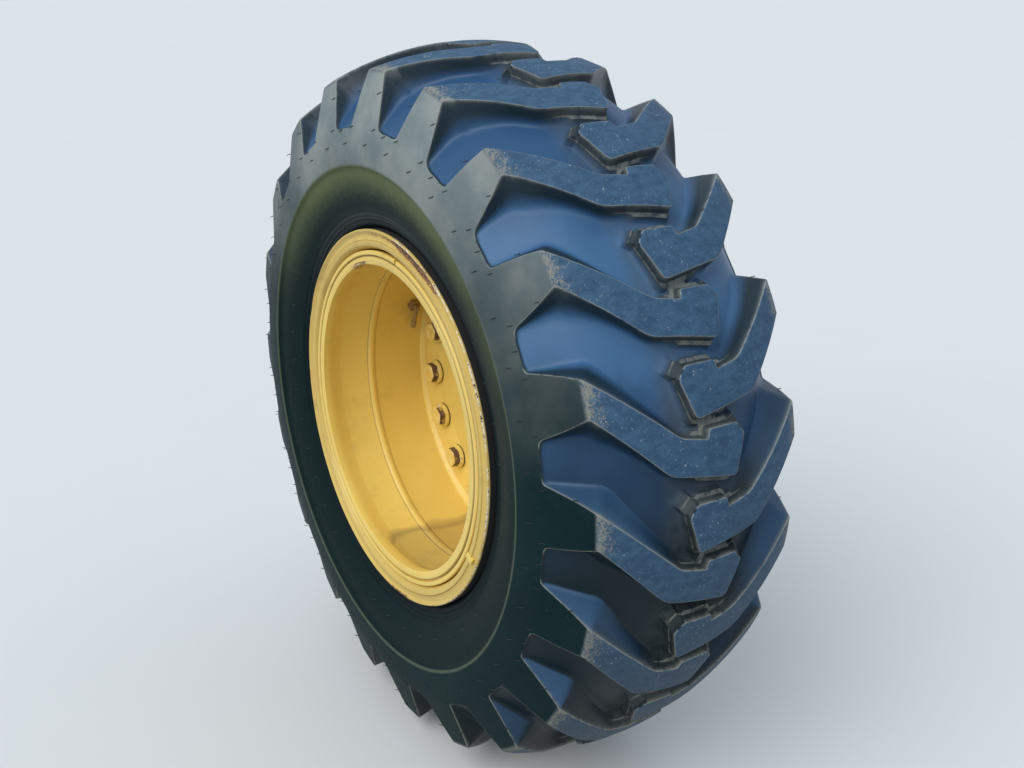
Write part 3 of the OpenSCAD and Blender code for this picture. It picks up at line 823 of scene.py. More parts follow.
border_y = (np.arange(BORDER) + 0.5) / BORDER * PITCH_LENGTH
plan_points = np.vstack([pitch_points(), line_at(-S_LIMIT, border_y), line_at(S_LIMIT, border_y)])
print("points in one pitch", len(plan_points))

# %% Heights over the plan
POCKET_END = (-0.5 * MM, 3 * MM)
EDGE_ROUND = 2.2 * MM
EDGE_DROP = 0.7 * MM
CREST_WIDTH = 5 * MM


def surface(points):
    """Radius and out of each plan point, with its depth and how near it is to a lug's edge."""
    s, side = np.abs(points[:, 0]), np.sign(points[:, 0])
    top, bottom = top_and_floor(s)
    high = is_high(points)
    gap = distance_to(points, "wall")
    away = eased(points, gap)
    gaps, falls = wall_bends(s)
    fall = np.ones(len(points))
    for k in range(len(gaps) - 1):
        share = np.clip((away - gaps[k]) / np.maximum(gaps[k + 1] - gaps[k], 1e-9), 0, 1)
        here = (away >= gaps[k]) & (away < gaps[k + 1])
        fall = np.where(here, falls[k] + (falls[k + 1] - falls[k]) * share, fall)
    fall = fall * smooth(distance_to(points, "end"), *POCKET_END)
    fall = np.where(high | (s > S_END), 0, np.minimum(fall, ramp(points)))
    section = top + (bottom - top) * fall[:, None]
    rounding = np.where(high, np.clip(1 - gap / EDGE_ROUND, 0, 1) ** 2, 1.0) * EDGE_DROP
    section[:, 0] -= np.where((fall > 0.2) | (s >= S_END - 4 * MM), 0, rounding)
    section[:, 1] *= side
    crest = np.clip(1 - gap / CREST_WIDTH, 0, 1) * (s < S_END)
    return section, fall, crest


def triangulate():
    """Triangles of one pitch. The plan is laid out three times so that its two ends match, with a row of
    spare points past each border, because a triangulation is careless along its own rim."""
    total = len(plan_points)
    laid = np.vstack([plan_points + [0, k * PITCH_LENGTH] for k in (-1, 0, 1)])
    spare_s, spare_y = S_LIMIT + 15 * MM, np.arange(-BORDER, 2 * BORDER) / BORDER * PITCH_LENGTH
    spare = np.vstack([line_at(-spare_s, spare_y), line_at(spare_s, spare_y)])
    edges = []
    for first in (2 * BORDER, BORDER):
        rim = [k * total - first + j for k in (1, 2, 3) for j in range(BORDER)]
        edges += list(zip(rim[:-1], rim[1:]))
    flat = [Vector((float(x), float(y))) for x, y in np.vstack([laid, spare])]
    _, _, faces, origin, _, _ = delaunay_2d_cdt(flat, edges, [], 0, 1e-7)
    first_of = [o[0] for o in origin]
    kept = []
    for face in faces:
        corners = [first_of[v] for v in face]
        if max(corners) < len(laid):
            middle = laid[corners].mean(0)
            if abs(middle[0]) < S_LIMIT and 0 <= middle[1] < PITCH_LENGTH:
                kept.append(corners)
    return np.array(kept)


triangles = triangulate()
print("triangles in one pitch", len(triangles))

# %% [markdown]
# ## Sidewall, bead and lining
# Below the grooves nothing repeats except the roundness, so the rest of the section is a plain outline:
# a raised protector that ends in a crisp step, a hollow cove above the rim, a few fine rings by the
# flange, the bead that sits on the rim and the lining inside. It is turned in twelve steps for each
# pitch, so that its first row meets the tread's last one point for point.

# %% Outline below the grooves
flange_mm, edge_mm, half_mm, plate_mm = FLANGE_R / MM, RIM_EDGE / MM, 177.8, TYRE_HALF / MM
seat_mm = flange_mm - 38.1
heel_mm = (half_mm + edge_mm) / 2
roll_mm = (edge_mm - half_mm) / 2
SEAT_GAP = 0.5


def fine_rings(start, end, count, height):
    """Low rounded rings along a straight run of the section."""
    start, end = np.array(start), np.array(end)
    along = (end - start) / count
    out = np.array([along[1], -along[0]]) / np.linalg.norm(along) * height
    points = []
    for k in range(count):
        for share, rise in ((0.15, 0), (0.35, 1), (0.6, 1), (0.8, 0)):
            points.append(start + along * k + along * share - out * rise)
    return points


start_of_wall = on_curve(outer_s, outer, [S_LIMIT])[0] / MM
wall_line = [
    start_of_wall, (505, 232.9), (480, plate_mm - 0.4), (473.5, plate_mm), (470.5, plate_mm),
    (469.0, plate_mm - 1.4), (466.5, 232.0), (463.5, 229.6), (458.0, 228.6), (450.0, 228.0), (440.0, 226.8),
    (428.0, 224.2), (416.0, 220.6), (404.0, 216.4), (394.0, 212.6),
    *fine_rings((388, 210.2), (366, 202.4), 3, 1.5), (363, 201.4), (359.5, 199.0)]
foot_line = [(flange_mm - roll_mm + SEAT_GAP + roll_mm * math.sin(t),
              heel_mm - SEAT_GAP - roll_mm * math.cos(t)) for t in np.radians(np.linspace(90, 0, 6))]
foot_line += [(seat_mm + 6, half_mm - SEAT_GAP), (seat_mm + SEAT_GAP, half_mm - 6),
              (seat_mm - 4.4, half_mm - 58), (seat_mm + 12, half_mm - 61)]
lining_line = [(375, 160), (450, 206), (500, 206), (560, 180), (592, 135), (610, 70), (615, 0)]
lining_line = soften([foot_line[-1], *lining_line], 30, 2)[1:]
half_outline = mm([*wall_line, *foot_line, *lining_line])
print("outline points on one side", len(half_outline))


# %% One pitch as a mesh
def pitch_mesh():
    """Vertices, faces and the two masks of one pitch, from the outboard lining to the inboard one."""
    section, fall, crest = surface(plan_points)
    total = len(plan_points)
    vertices, masks, index = [], [], {}

    def corner(v):
        if v not in index:
            copy, base = v // total - 1, v % total
            angle = FIRST_CORNER + (plan_points[base, 1] + copy * PITCH_LENGTH) / PLAN_R
            index[v] = len(vertices)
            vertices.append(around(*section[base], angle))
            masks.append((fall[base], crest[base]))
        return index[v]

    faces = [[corner(v) for v in reversed(face)] for face in triangles]
    angles = FIRST_CORNER + border_y / PLAN_R
    for side, first in ((1, total - BORDER), (-1, total - 2 * BORDER)):
        previous = [corner(total + first + k) for k in range(BORDER)]
        previous.append(corner(2 * total + first))
        for r, out in half_outline[1:]:
            turned_on = [Vector(around(r, side * out, a)) for a in angles]
            turned_on.append(Matrix.Rotation(-PITCH, 3, "Y") @ turned_on[0])
            here = list(range(len(vertices), len(vertices) + BORDER + 1))
            vertices += [tuple(p) for p in turned_on]
            masks += [(0.0, 0.0)] * (BORDER + 1)
            for k in range(BORDER):
                quad = [previous[k], previous[k + 1], here[k + 1], here[k]]
                faces.append(quad if side > 0 else quad[::-1])
            previous = here
    return vertices, faces, np.array(masks)


# %% [markdown]
# ## Copies round the axle
# The tread's pitch, the wheel bolts, their washers and the vent hairs all stand in rings round the axle,
# so one Geometry Nodes tree serves them all. It sets points on a circle, puts a copy on each, turns the
# copies with their places or at random, realizes them and welds what touches. The result is kept as a
# plain mesh.

# %% Geometry Nodes tree
RING_INPUTS = {"Count": "Int", "Radius": "Float", "Along": "Float", "Start": "Float", "Follow": "Float",
               "Random Turn": "Float", "Seed": "Int", "Weld": "Float", "Material": "Material"}


class Builder:
    """A Geometry Nodes tree with named inputs, built one node at a time."""

    def __init__(self, name, inputs):
        self.tree = bpy.data.node_groups.new(name, "GeometryNodeTree")
        face = self.tree.interface
        face.new_socket("Geometry", in_out="INPUT", socket_type="NodeSocketGeometry")
        face.new_socket("Geometry", in_out="OUTPUT", socket_type="NodeSocketGeometry")
        for label, kind in inputs.items():
            face.new_socket(label, in_out="INPUT", socket_type="NodeSocket" + kind)
        self.start = self.add("NodeGroupInput")
        self.end = self.tree.nodes.new("NodeGroupOutput")

    def add(self, kind, settings=None, values=None):
        return add_node(self.tree, kind, settings, values).outputs

    def maths(self, operation, *values):
        return self.add("ShaderNodeMath", {"operation": operation}, dict(enumerate(values)))[0]

    def chance(self, number, seed):
        """A random number from -0.5 to 0.5 for each copy."""
        values = {"Min": -0.5, "Max": 0.5, "ID": number, "Seed": seed}
        drawn = self.add("FunctionNodeRandomValue", {"data_type": "FLOAT"}, values)
        return [s for s in drawn if s.enabled and s.type == "VALUE"][0]


def make_ring_tree():
    b = Builder("copies_round_axle", RING_INPUTS)
    given = b.start
    number = b.add("GeometryNodeInputIndex")[0]
    step = b.maths("DIVIDE", 2 * math.pi, given["Count"])
    angle = b.maths("ADD", b.maths("MULTIPLY", number, step), given["Start"])
    across = b.maths("MULTIPLY", b.maths("COSINE", angle), given["Radius"])
    height = b.maths("MULTIPLY", b.maths("SINE", angle), given["Radius"])
    spot = b.add("ShaderNodeCombineXYZ", {}, {0: across, 1: given["Along"], 2: height})[0]
    points = b.add("GeometryNodePoints", {}, {"Count": given["Count"], "Position": spot})[0]
    followed = b.maths("MULTIPLY", angle, given["Follow"])
    at_random = b.maths("MULTIPLY", b.chance(number, given["Seed"]), given["Random Turn"])
    turn = b.add("ShaderNodeCombineXYZ", {}, {1: b.maths("SUBTRACT", at_random, followed)})[0]
    set_out = {"Points": points, "Instance": given["Geometry"], "Rotation": turn}
    instances = b.add("GeometryNodeInstanceOnPoints", {}, set_out)[0]
    whole = b.add("GeometryNodeRealizeInstances", {}, {"Geometry": instances})[0]
    welded = b.add("GeometryNodeMergeByDistance", {}, {"Geometry": whole, "Distance": given["Weld"]})[0]
    dressed = b.add("GeometryNodeSetMaterial", {}, {"Geometry": welded, "Material": given["Material"]})[0]
    b.tree.links.new(dressed, b.end.inputs[0])
    return b.tree


RING_TREE = make_ring_tree()


# %% Meshes and pieces
def evaluated(piece):
    """A plain mesh of the piece with its modifiers applied."""
    graph = bpy.context.evaluated_depsgraph_get()
    return bpy.data.meshes.new_from_object(piece.evaluated_get(graph))


def copies(source, name, material, count, **values):
    """Copies of a mesh round the axle, as one plain mesh object at the origin."""
    values = {"count": count, "material": material, "follow": 1.0, "seed": 5, **values}
    holder = placed(name + "_source", source)
    modifier = holder.modifiers.new("nodes", "NODES")
    modifier.node_group = RING_TREE
    for item in RING_TREE.interface.items_tree:
        if item.in_out == "INPUT" and item.name != "Geometry":
            modifier[item.identifier] = values.get(item.name.replace(" ", "_").lower(), 0.0)
    mesh = evaluated(holder)
    bpy.data.objects.remove(holder)
    mesh.name = name
    mesh.shade_smooth()
    return placed(name, mesh)


def mesh_from(name, vertices, faces):
    mesh = bpy.data.meshes.new(name)
    mesh.from_pydata([tuple(v) for v in vertices], [], faces)
    return mesh


def worked(mesh, job):
    """Does one job on the vertices and faces of a mesh."""
    work = bmesh.new()
    work.from_mesh(mesh)
    job(work)
    work.to_mesh(mesh)
    work.free()
    return mesh


def face_outwards(mesh):
    """Makes a closed mesh's faces point out of it."""
    return worked(mesh, lambda work: bmesh.ops.recalc_face_normals(work, faces=work.faces))


def skin(rings):
    """A closed mesh of quads between rings of equal length."""
    sides = len(rings[0])
    faces = []
    for here in range(0, (len(rings) - 1) * sides, sides):
        faces += [[here + k, here + (k + 1) % sides, here + sides + (k + 1) % sides, here + sides + k]
                  for k in range(sides)]
    faces += [list(range(sides)), list(range((len(rings) - 1) * sides, len(rings) * sides))]
    return face_outwards(mesh_from("skin", [p for ring in rings for p in ring], faces))


def painted(piece, material):
    piece.data.materials.clear()
    piece.data.materials.append(material)
    return piece


def keep_edges(piece, angle):
    """Shades smoothly except over edges sharper than the angle."""
    piece.data.set_sharp_from_angle(angle=math.radians(angle))
    return piece


def settle(piece, body, slot, *nodes):
    """A finished piece rides on its body and stands for its solids. Its slot is not used."""
    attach(piece, body)
    if nodes:
        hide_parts(*nodes)
    return piece


# %% The tyre
WELD = 0.02 * MM
SIDEWALL_BELOW = 632 * MM
SIDEWALL_FROM = 150 * MM


def read(values, key, kind, size):
    """One property of every face, corner or vertex, as an array."""
    found = np.zeros(size, kind)
    values.foreach_get(key, found)
    return found


def dress_sides(mesh):
    """The sidewalls, down from the lugs' shoulders, take the duller rubber."""
    count = len(mesh.polygons)
    corner = read(mesh.loops, "vertex_index", int, len(mesh.loops))
    depth = read(mesh.attributes["depth"].data, "value", np.float32, len(mesh.vertices))
    x, y, z = read(mesh.polygons, "center", float, count * 3).reshape(-1, 3).T
    deepest = np.maximum.reduceat(depth[corner], read(mesh.polygons, "loop_start", int, count))
    side = (deepest < 0.02) & (np.hypot(x, z) < SIDEWALL_BELOW) & (np.abs(y - MIDDLE_Y) > SIDEWALL_FROM)
    mesh.materials.append(SIDEWALL_RUBBER)
    mesh.polygons.foreach_set("material_index", side.astype(np.int32))
    return int(side.sum())


pitch_vertices, pitch_faces, pitch_masks = pitch_mesh()
pitch = mesh_from("tread_pitch", pitch_vertices, pitch_faces)
for name, column in (("depth", 0), ("crest", 1)):
    layer = pitch.attributes.new(name, "FLOAT", "POINT")
    layer.data.foreach_set("value", pitch_masks[:, column].astype(np.float32))
tyre = painted(keep_edges(copies(pitch, "tyre_worn", RUBBER, LUGS, weld=WELD), 50), RUBBER)
print("tyre faces", len(tyre.data.polygons), "of which sidewall", dress_sides(tyre.data))
settle(tyre, "wheel", "tyre", "tyre")

# %% [markdown]
# ## Vent hairs
# Air leaves the mould through pin holes, and each hole leaves a thin hair of rubber on the sidewall.
# They stand in rings at fixed angles and have been brushed flat, all one way. A hair is a bent tapering
# stem, and the ring tree sets a ring of them without turning them. Where the wall is widest, a hair lies
# flatter, so that it stays inside the tyre's full width.

# %% Vent hairs
HAIR_RINGS = [(0.597, 0.085), (0.597, -0.335), (0.538, 0.110), (0.538, -0.400), (0.5335, -0.63),
              (0.510, -0.256), (0.510, -0.750), (0.416, -0.30), (0.416, -0.80)]  # radius, pitches on
HAIR_LENGTH = 13 * MM
HAIR_STAND = 2.2 * MM
HAIR_WIDTH = 2.0 * MM
HAIR_SIDES = 5
BRUSHED = Vector((-0.94, 0, -0.34))
HAIR_BLACK = (0.008, 0.010, 0.011)
whole_wall = np.vstack([outer, mm(wall_line)])
whole_wall = whole_wall[np.argsort(whole_wall[:, 0])]


def hair(room, side):
    """A stem of five rings that stands a little way out and then lies over."""
    stand = min(HAIR_STAND, room * 0.8)
    lean = math.sqrt(HAIR_LENGTH ** 2 - stand ** 2)
    outboard = Vector((0, -side, 0))
    rings = []
    for share in (-0.1, 0.0, 0.4, 0.75, 1.0):
        middle = outboard * (stand * min(1, share * 1.35)) + BRUSHED * (lean * max(0, share) ** 1.6)
        width = HAIR_WIDTH / 2 * (1 - 0.5 * max(0, share))
        along = BRUSHED if lean > stand and share > 0.3 else outboard
        first = along.orthogonal().normalized()
        second = along.cross(first)
        rings.append([middle + (first * math.cos(t) + second * math.sin(t)) * width
                      for t in np.linspace(0, 2 * math.pi, HAIR_SIDES, endpoint=False)])
    return skin(rings)


def grow_hairs():
    """All the hairs of both sidewalls, as one piece."""
    material = Finish("hair_rubber").finish(HAIR_BLACK, 0.55)
    work = bmesh.new()
    for side, shift in SIDES:
        for radius, pitches in HAIR_RINGS:
            wall = float(np.interp(radius, whole_wall[:, 0], whole_wall[:, 1]))
            stem = hair(TYRE_HALF - wall, side)
            start = FIRST_CORNER + (pitches + shift) * PITCH
            ring = copies(stem, "hair_ring", material, LUGS, radius=radius, along=MIDDLE_Y - side * wall,
                          start=start, follow=0.0)
            work.from_mesh(ring.data)
            bpy.data.objects.remove(ring)
    mesh = bpy.data.meshes.new("vent_hairs")
    work.to_mesh(mesh)
    work.free()
    return painted(placed("vent_hairs", mesh), material)


hairs = settle(grow_hairs(), "wheel", "tyre")
print("vent hair faces", len(hairs.data.polygons))

# %% [markdown]
# ## Paint
# The rim, hub and housing share one thick yellow enamel. Where stones and tyre irons have hit it, the
# paint is gone: pale primer and bare steel along the flange's edge, brown rust in the older wounds. A dirt
# film darkens some pieces, and the same film mask carries painted shade that goes down to near black: in
# the seam below the flange, behind its edge, in the rim's gutter and at the foot of each washer. Each piece
# gives its own masks for where that happens, so the same few lines make a clean barrel and a battered flange.

# %% Enamel
YELLOW = (0.860, 0.620, 0.145)
YELLOW_DEEP = (0.760, 0.515, 0.100)
YELLOW_PALE = (0.870, 0.690, 0.270)
PRIMER = (0.820, 0.700, 0.490)
RUST = (0.270, 0.125, 0.045)
RUST_DARK = (0.078, 0.040, 0.022)
RUST_STAIN = (0.42, 0.215, 0.065)
# The film tone is dirt, and also the first step of painted shade.
FILM_AND_SHADE = (0.235, 0.150, 0.060)
SHADE = (0.012, 0.012, 0.012)


def enamel(name, chips=None, rusty=None, film_and_shade=None, grime=0.2, coat=0.15):
    """Yellow paint; the three masks say where it is chipped, where it has rusted, and where dirt and painted
    shade lie.
    """
    made = Finish(name, coat)
    fine = made.noise(38.0, 6, 0.62)
    flakes = made.noise(150.0, 5, 0.6)
    ragged = (flakes + fine - 1) * 1.6
    colour = made.mix(made.noise(3.2, 4).rise(0.34, 0.68) * 0.6, YELLOW, YELLOW_DEEP)
    colour = made.mix(fine.rise(0.52, 0.76) * 0.28, colour, YELLOW_PALE)
    dirt_and_shade = (made.noise(11.0, 6, 0.66) + fine * 0.35).rise(0.70, 0.95) * grime
    if film_and_shade:
        dirt_and_shade = dirt_and_shade + film_and_shade(made)
    colour = made.mix(dirt_and_shade.least(0.9), colour, FILM_AND_SHADE)
    # Where that mask runs high, the paint turns near black as painted shade.
    if film_and_shade:
        colour = made.mix(dirt_and_shade.rise(0.95, 1.4), colour, SHADE)
    rough = 0.38 + fine * 0.14 + dirt_and_shade * 0.3
    gone = made.specks(60.0, 0.10) * made.noise(7.0).rise(0.54, 0.64) * 0.8
    metal = None
    if rusty:
        patch = rusty(made) + ragged
        colour = made.mix(patch.rise(0.45, 1.0) * 0.55, colour, RUST_STAIN)
        crust = patch.rise(0.92, 1.02)
        gone = gone.most(crust)
        rough = rough + crust * 0.35
    colour = made.mix(gone, colour, made.mix(flakes.rise(0.44, 0.54), RUST_DARK, RUST))
    if chips:
        chip = (chips(made) + ragged).rise(0.95, 1.03)
        colour = made.mix(chip, colour, made.mix(flakes.rise(0.57, 0.62), PRIMER, RUST_DARK))
        metal = chip * flakes.rise(0.46, 0.40) * 0.1
        gone = gone.most(chip)
    made.bump(fine * 0.3 + flakes * 0.06 - gone * 1.3, 0.5, 0.35 * MM)
    return made.finish(colour, rough.least(0.95), metal)


# %% Where the paint is worn
barrel_mm = DISC_R / MM + 0.2
disc_mm = DISC_OUT / MM
seam_mm = edge_mm - 117


def sector(made, middle, half):
    """1 near an angle round the axle, in degrees, fading out over `half` degrees."""
    middle, half = math.radians(middle), math.radians(half)
    toward = (made.along * math.cos(middle) + made.up * math.sin(middle)) / made.radius
    return toward.rise(math.cos(half * 1.5), math.cos(half * 0.5))


def band(made, low, high, soft=1.5):
    """1 between two radii in millimetres, with soft edges."""
    return made.radius.rise_mm(low - soft, low) * made.radius.rise_mm(high + soft, high)


# Wounds of the paint: angle and half width in degrees, inner and outer radius, softness, strength.
FLANGE_KNOCKED = [(72, 9, 346, 352, 3, 0.80)]
FLANGE_RUSTED = [(68, 12, 339, 353, 4, 1.15), (-86, 6, 351, 359, 1.5, 1.15), (84, 16, 344, 350, 4, 0.9)]
LIP_CHIPPED = [(111, 6, 288, 296, 1.5, 0.85), (-25, 2, 288, 296, 1.5, 0.8)]
LIP_RUSTED = [(111, 7, 285, 297, 1.5, 1.0), (52, 2, 285, 297, 1.5, 0.9)]


def wounds(made, places):
    """All the wounds of one list, added up."""
    return sum(sector(made, angle, half) * band(made, low, high, soft) * strength
               for angle, half, low, high, soft, strength in places)


def flange_chips(made):
    front = abs(made.out).rise_mm(edge_mm - 4, edge_mm - 2.5)
    edge = band(made, flange_mm - 1.8, flange_mm + 5, 1.2) * front
    return edge * (0.74 + sector(made, 0, 75) * 0.30) + wounds(made, FLANGE_KNOCKED)


def flange_rust(made):
    front = abs(made.out).rise_mm(edge_mm - 7, edge_mm - 5.5)
    return (wounds(made, FLANGE_RUSTED) + made.noise(12.0).rise(0.62, 0.74) * 0.62) * front


def flange_film_and_shade(made):
    """A thin film all over, and painted shade: more in the seam below the flange and most behind its edge."""
    side = abs(made.out)
    # Painted shade in the seam below the flange and behind the flange's edge.
    seam_shade = made.radius.rise_mm(flange_mm - 20.4, flange_mm - 21.4) * side.rise_mm(heel_mm + 8, heel_mm)
    back = side.rise_mm(edge_mm - 4, edge_mm - 6) * made.radius.rise_mm(flange_mm - 12, flange_mm - 8)
    return 0.30 + seam_shade * 1.2 + back * 1.6


def rim_rust(made):
    return wounds(made, LIP_RUSTED) + made.noise(6.0).rise(0.66, 0.76) * 0.5


LOW_PATCH_TILT = 0.09
LOW_PATCH_DEPTH = 16 * MM
SEAM_FOOT = 8.6 * MM


def rim_film_and_shade(made):
    """Painted shade in the gutter, darker lines along both feet of the seam weld, and a patch that lies low
    in the barrel. The patch is brown below a level line, with a darker line along it."""
    # Painted shade in the gutter's recess.
    gutter_shade = made.radius.rise_mm(303.4, 305.0) * made.radius.rise_mm(309.0, 306.0)
    patch_level = made.up + made.noise(5.0, 2) * 0.04 - made.along * LOW_PATCH_TILT + LOW_PATCH_DEPTH
    low_patch = patch_level.rise_mm(-243, -249) + patch_level.rise_mm(-250, -246) * patch_level.rise_mm(-240, -244)
    inside = made.radius.rise_mm(305.0, 304.0) * (made.out - DISC_OUT).rise_mm(-10, 20)
    inside = inside * made.out.rise_mm(edge_mm - 24, edge_mm - 30)
    beside = abs(abs(made.out - seam_mm * MM) - SEAM_FOOT).rise_mm(1.6, 0.4) * made.radius.rise_mm(301, 300)
    return gutter_shade * 0.7 + low_patch * inside * 0.4 + beside * 0.5


def worn_by(scale, start, end, strength):
    """A mask that wears the paint in patches of one size, wherever they fall."""
    return lambda made: made.noise(scale).rise(start, end) * strength


PAINT_FLANGE = enamel("paint_flange", flange_chips, flange_rust, flange_film_and_shade, grime=0.30)
PAINT_RIM = enamel("paint_rim", lambda made: wounds(made, LIP_CHIPPED), rim_rust, rim_film_and_shade)
PAINT_RING = enamel("paint_lock_ring", lambda made: 0.45 + sector(made, 80, 5) * 0.3,
                    worn_by(14.0, 0.58, 0.72, 0.75), grime=0.35)
PAINT_DISC = enamel("paint_disc")
PAINT_HOUSING = enamel("paint_housing", worn_by(5.0, 0.55, 0.66, 0.8), worn_by(8.0, 0.54, 0.68, 0.9),
                       grime=0.85, coat=0.05)
PAINT_VALVE = enamel("paint_valve", film_and_shade=lambda made: 0.70 + made.noise(60.0) * 0.3, grime=0.3)
# The washer's film darkens its foot to near black: a painted contact shadow on the disc.
PAINT_WASHER = enamel("paint_washer", lambda made: (made.out - DISC_OUT).rise_mm(6.8, 8.0) * 0.8,
                      film_and_shade=lambda made: (made.out - DISC_OUT).rise_mm(3.6, 2.2) * 1.5, grime=0.35)

# %% [markdown]
# ## Rim
# A grader's rim comes apart: two loose flanges, a band that slides over the base and a split ring in
# the gutter that locks them. Each is a ring, so each is an outline turned round the axle. The outlines
# follow the solids' sections with their corners rounded, and the outer flange's face is dished between
# a rolled edge and its foot. These outlines are turned in Python, because their ripples and dents
# are easiest to write as a function of the angle.

# %% Turned rings
def turned(name, outline, material, sharp, *nodes, shape=None, steps=288, gap=None, shift=(0.0, 0.0)):
    """A piece of the rim: a closed outline of (radius, out) in millimetres, turned round the axle. `shape`
    moves a point by its angle; `gap` is the (middle, width) of an opening, whose two ends are closed."""
    count = len(outline)
    if gap:
        middle, width = gap
        angles = middle + width / 2 + np.linspace(0, 2 * math.pi - width, steps + 1)
    else:
        angles = np.linspace(0, 2 * math.pi, steps, endpoint=False)
    vertices = []
    for a in angles:
        for r, out in outline:
            if shape:
                r, out = shape(r, out, a)
            x, y, z = around(r * MM, out * MM, a)
            vertices.append((x + shift[0], y, z + shift[1]))
    faces = []
    for k in range(steps):
        here, ahead = k * count, (k + 1) % len(angles) * count
        faces += [[here + j, here + (j + 1) % count, ahead + (j + 1) % count, ahead + j]
                  for j in range(count)]
    if gap:
        faces += [list(range(count)), list(range(len(vertices) - count, len(vertices)))[::-1]]
    mesh = face_outwards(mesh_from(name, vertices, faces))
    mesh.shade_smooth()
    piece = keep_edges(painted(placed(name, mesh), material), sharp)
    return settle(piece, "wheel", "rim_paint", *nodes)


def knocks(a, places):
    """The depth of a few narrow knocks, each an angle, a width and a depth, at one angle."""
    turns = [((a - middle + math.pi) % (2 * math.pi) - math.pi) / width for middle, width, _ in places]
    return sum(depth * math.exp(-turn ** 2) for turn, (_, _, depth) in zip(turns, places))


# %% Flanges
FLANGE_KNOCKS = [(1.12, 0.05, 1.6), (0.62, 0.03, 1.0), (-0.35, 0.04, 1.2), (2.75, 0.04, 1.0)]


def dented(r, out, a):
    """The flange's edge is wavy by a fraction of a millimetre, with a few harder knocks."""
    share = min(1.0, max(0.0, (r - flange_mm + 12) / 12))
    wave = 0.25 * math.sin(5 * a + 0.4) + 0.18 * math.sin(13 * a) + 0.12 * math.sin(31 * a + 1.0)
    inward = min(0.0, wave - knocks(a, FLANGE_KNOCKS)) * share
    return r + inward, out + inward * 0.6


flange_line = [(flange_mm - roll_mm + roll_mm * math.sin(t), heel_mm - roll_mm * math.cos(t))
               for t in np.radians(np.linspace(0, 90, 9))]
flange_line += [(flange_mm - drop, edge_mm - back) for drop, back in (
    (0, 2.6), (0.8, 0.8), (2.4, 0), (4.0, 0.6), (6.0, 2.6), (9.0, 4.4), (13.0, 4.8), (17.0, 3.6), (19.6, 2.0),
    (20.3, 3.4), (20.3, 7.0))]
flange_line += [(seat_mm + 0.2, heel_mm), (seat_mm + 0.2, half_mm)]
inner_line = [(r, -out) for r, out in flange_line]
turned("outer_flange_worn", flange_line, PAINT_FLANGE, 50, "outer_flange", shape=dented)
turned("inner_flange_worn", inner_line, PAINT_FLANGE, 50, "inner_flange", shape=dented)

# %% Rim base
lip_mm, gutter_out_mm, gutter_in_mm = barrel_mm - 10, edge_mm - 9.5, edge_mm - 27.5
foot_mm = flange_mm - 20.5
LIP_KNOCKS = [(1.92, 0.035, 1.7), (1.80, 0.02, 1.2), (-0.43, 0.012, 1.4)]
gutter_line = [
    (lip_mm + 0.6, edge_mm - 4.8), (lip_mm + 3.0, edge_mm - 3.5), (lip_mm + 13.6, edge_mm - 3.5),
    (lip_mm + 16, edge_mm - 5.6), (lip_mm + 16, gutter_out_mm), (lip_mm + 12.6, gutter_out_mm - 0.4),
    (lip_mm + 12, gutter_in_mm + 1), (barrel_mm + 8.5, gutter_in_mm - 4)]
inner_seat_line = [
    (barrel_mm + 8.5, 60 - half_mm), (seat_mm - 5, 54 - half_mm), (seat_mm, -half_mm),
    (seat_mm, -heel_mm - 0.2), (foot_mm, 7 - edge_mm), (foot_mm, 1.8 - edge_mm), (foot_mm - 1.2, 1 - edge_mm),
    (barrel_mm + 8.6, 1 - edge_mm), (barrel_mm + 6.8, 2.2 - edge_mm), (barrel_mm, 16 - edge_mm)]
disc_line = [(barrel_mm, disc_mm + along) for along in (-19, -1, 14)]
seam_line = [(barrel_mm - rise, seam_mm + along) for along, rise in (
    (-8.5, 0), (-6.6, 0.7), (-3.6, 2.9), (0, 3.5), (3.6, 2.9), (6.6, 0.7), (8.5, 0))]
lip_line = [
    (barrel_mm, gutter_in_mm - 20), (barrel_mm - 0.6, gutter_in_mm - 16), (lip_mm + 3.2, gutter_in_mm + 2),
    (lip_mm + 0.6, gutter_in_mm + 10), (lip_mm, gutter_out_mm - 3)]
base_line = [*gutter_line, *inner_seat_line, *disc_line, *seam_line, *lip_line]


def rolled(r, out, a):
    """The seam weld ripples, and the lip carries a few nicks."""
    if abs(out - seam_mm) < 4 and r < barrel_mm:
        r += 0.35 * math.sin(a * 210) * math.sin(a * 17)
    if r < lip_mm + 2 and out > edge_mm - 34:
        r += knocks(a, LIP_KNOCKS)
    return r, out


turned("rim_base_worn", base_line, PAINT_RIM, 40, "rim_base", shape=rolled, steps=420)

# %% Bead seat band and lock ring
band_line = [
    (seat_mm - 5, half_mm - 60), (seat_mm, half_mm), (seat_mm, heel_mm + 0.2), (foot_mm, edge_mm - 6.8),
    (foot_mm, edge_mm - 1.6), (foot_mm - 1.2, edge_mm - 0.5), (foot_mm - 8.6, edge_mm - 0.5),
    (foot_mm - 10.2, edge_mm - 1.8), (foot_mm - 16, gutter_out_mm - 2.5),
    (barrel_mm + 11.7, gutter_in_mm - 2), (barrel_mm + 8.7, gutter_in_mm - 6),
    (barrel_mm + 8.7, half_mm - 60)]
turned("bead_seat_band_worn", band_line, PAINT_FLANGE, 40, "bead_seat_band")

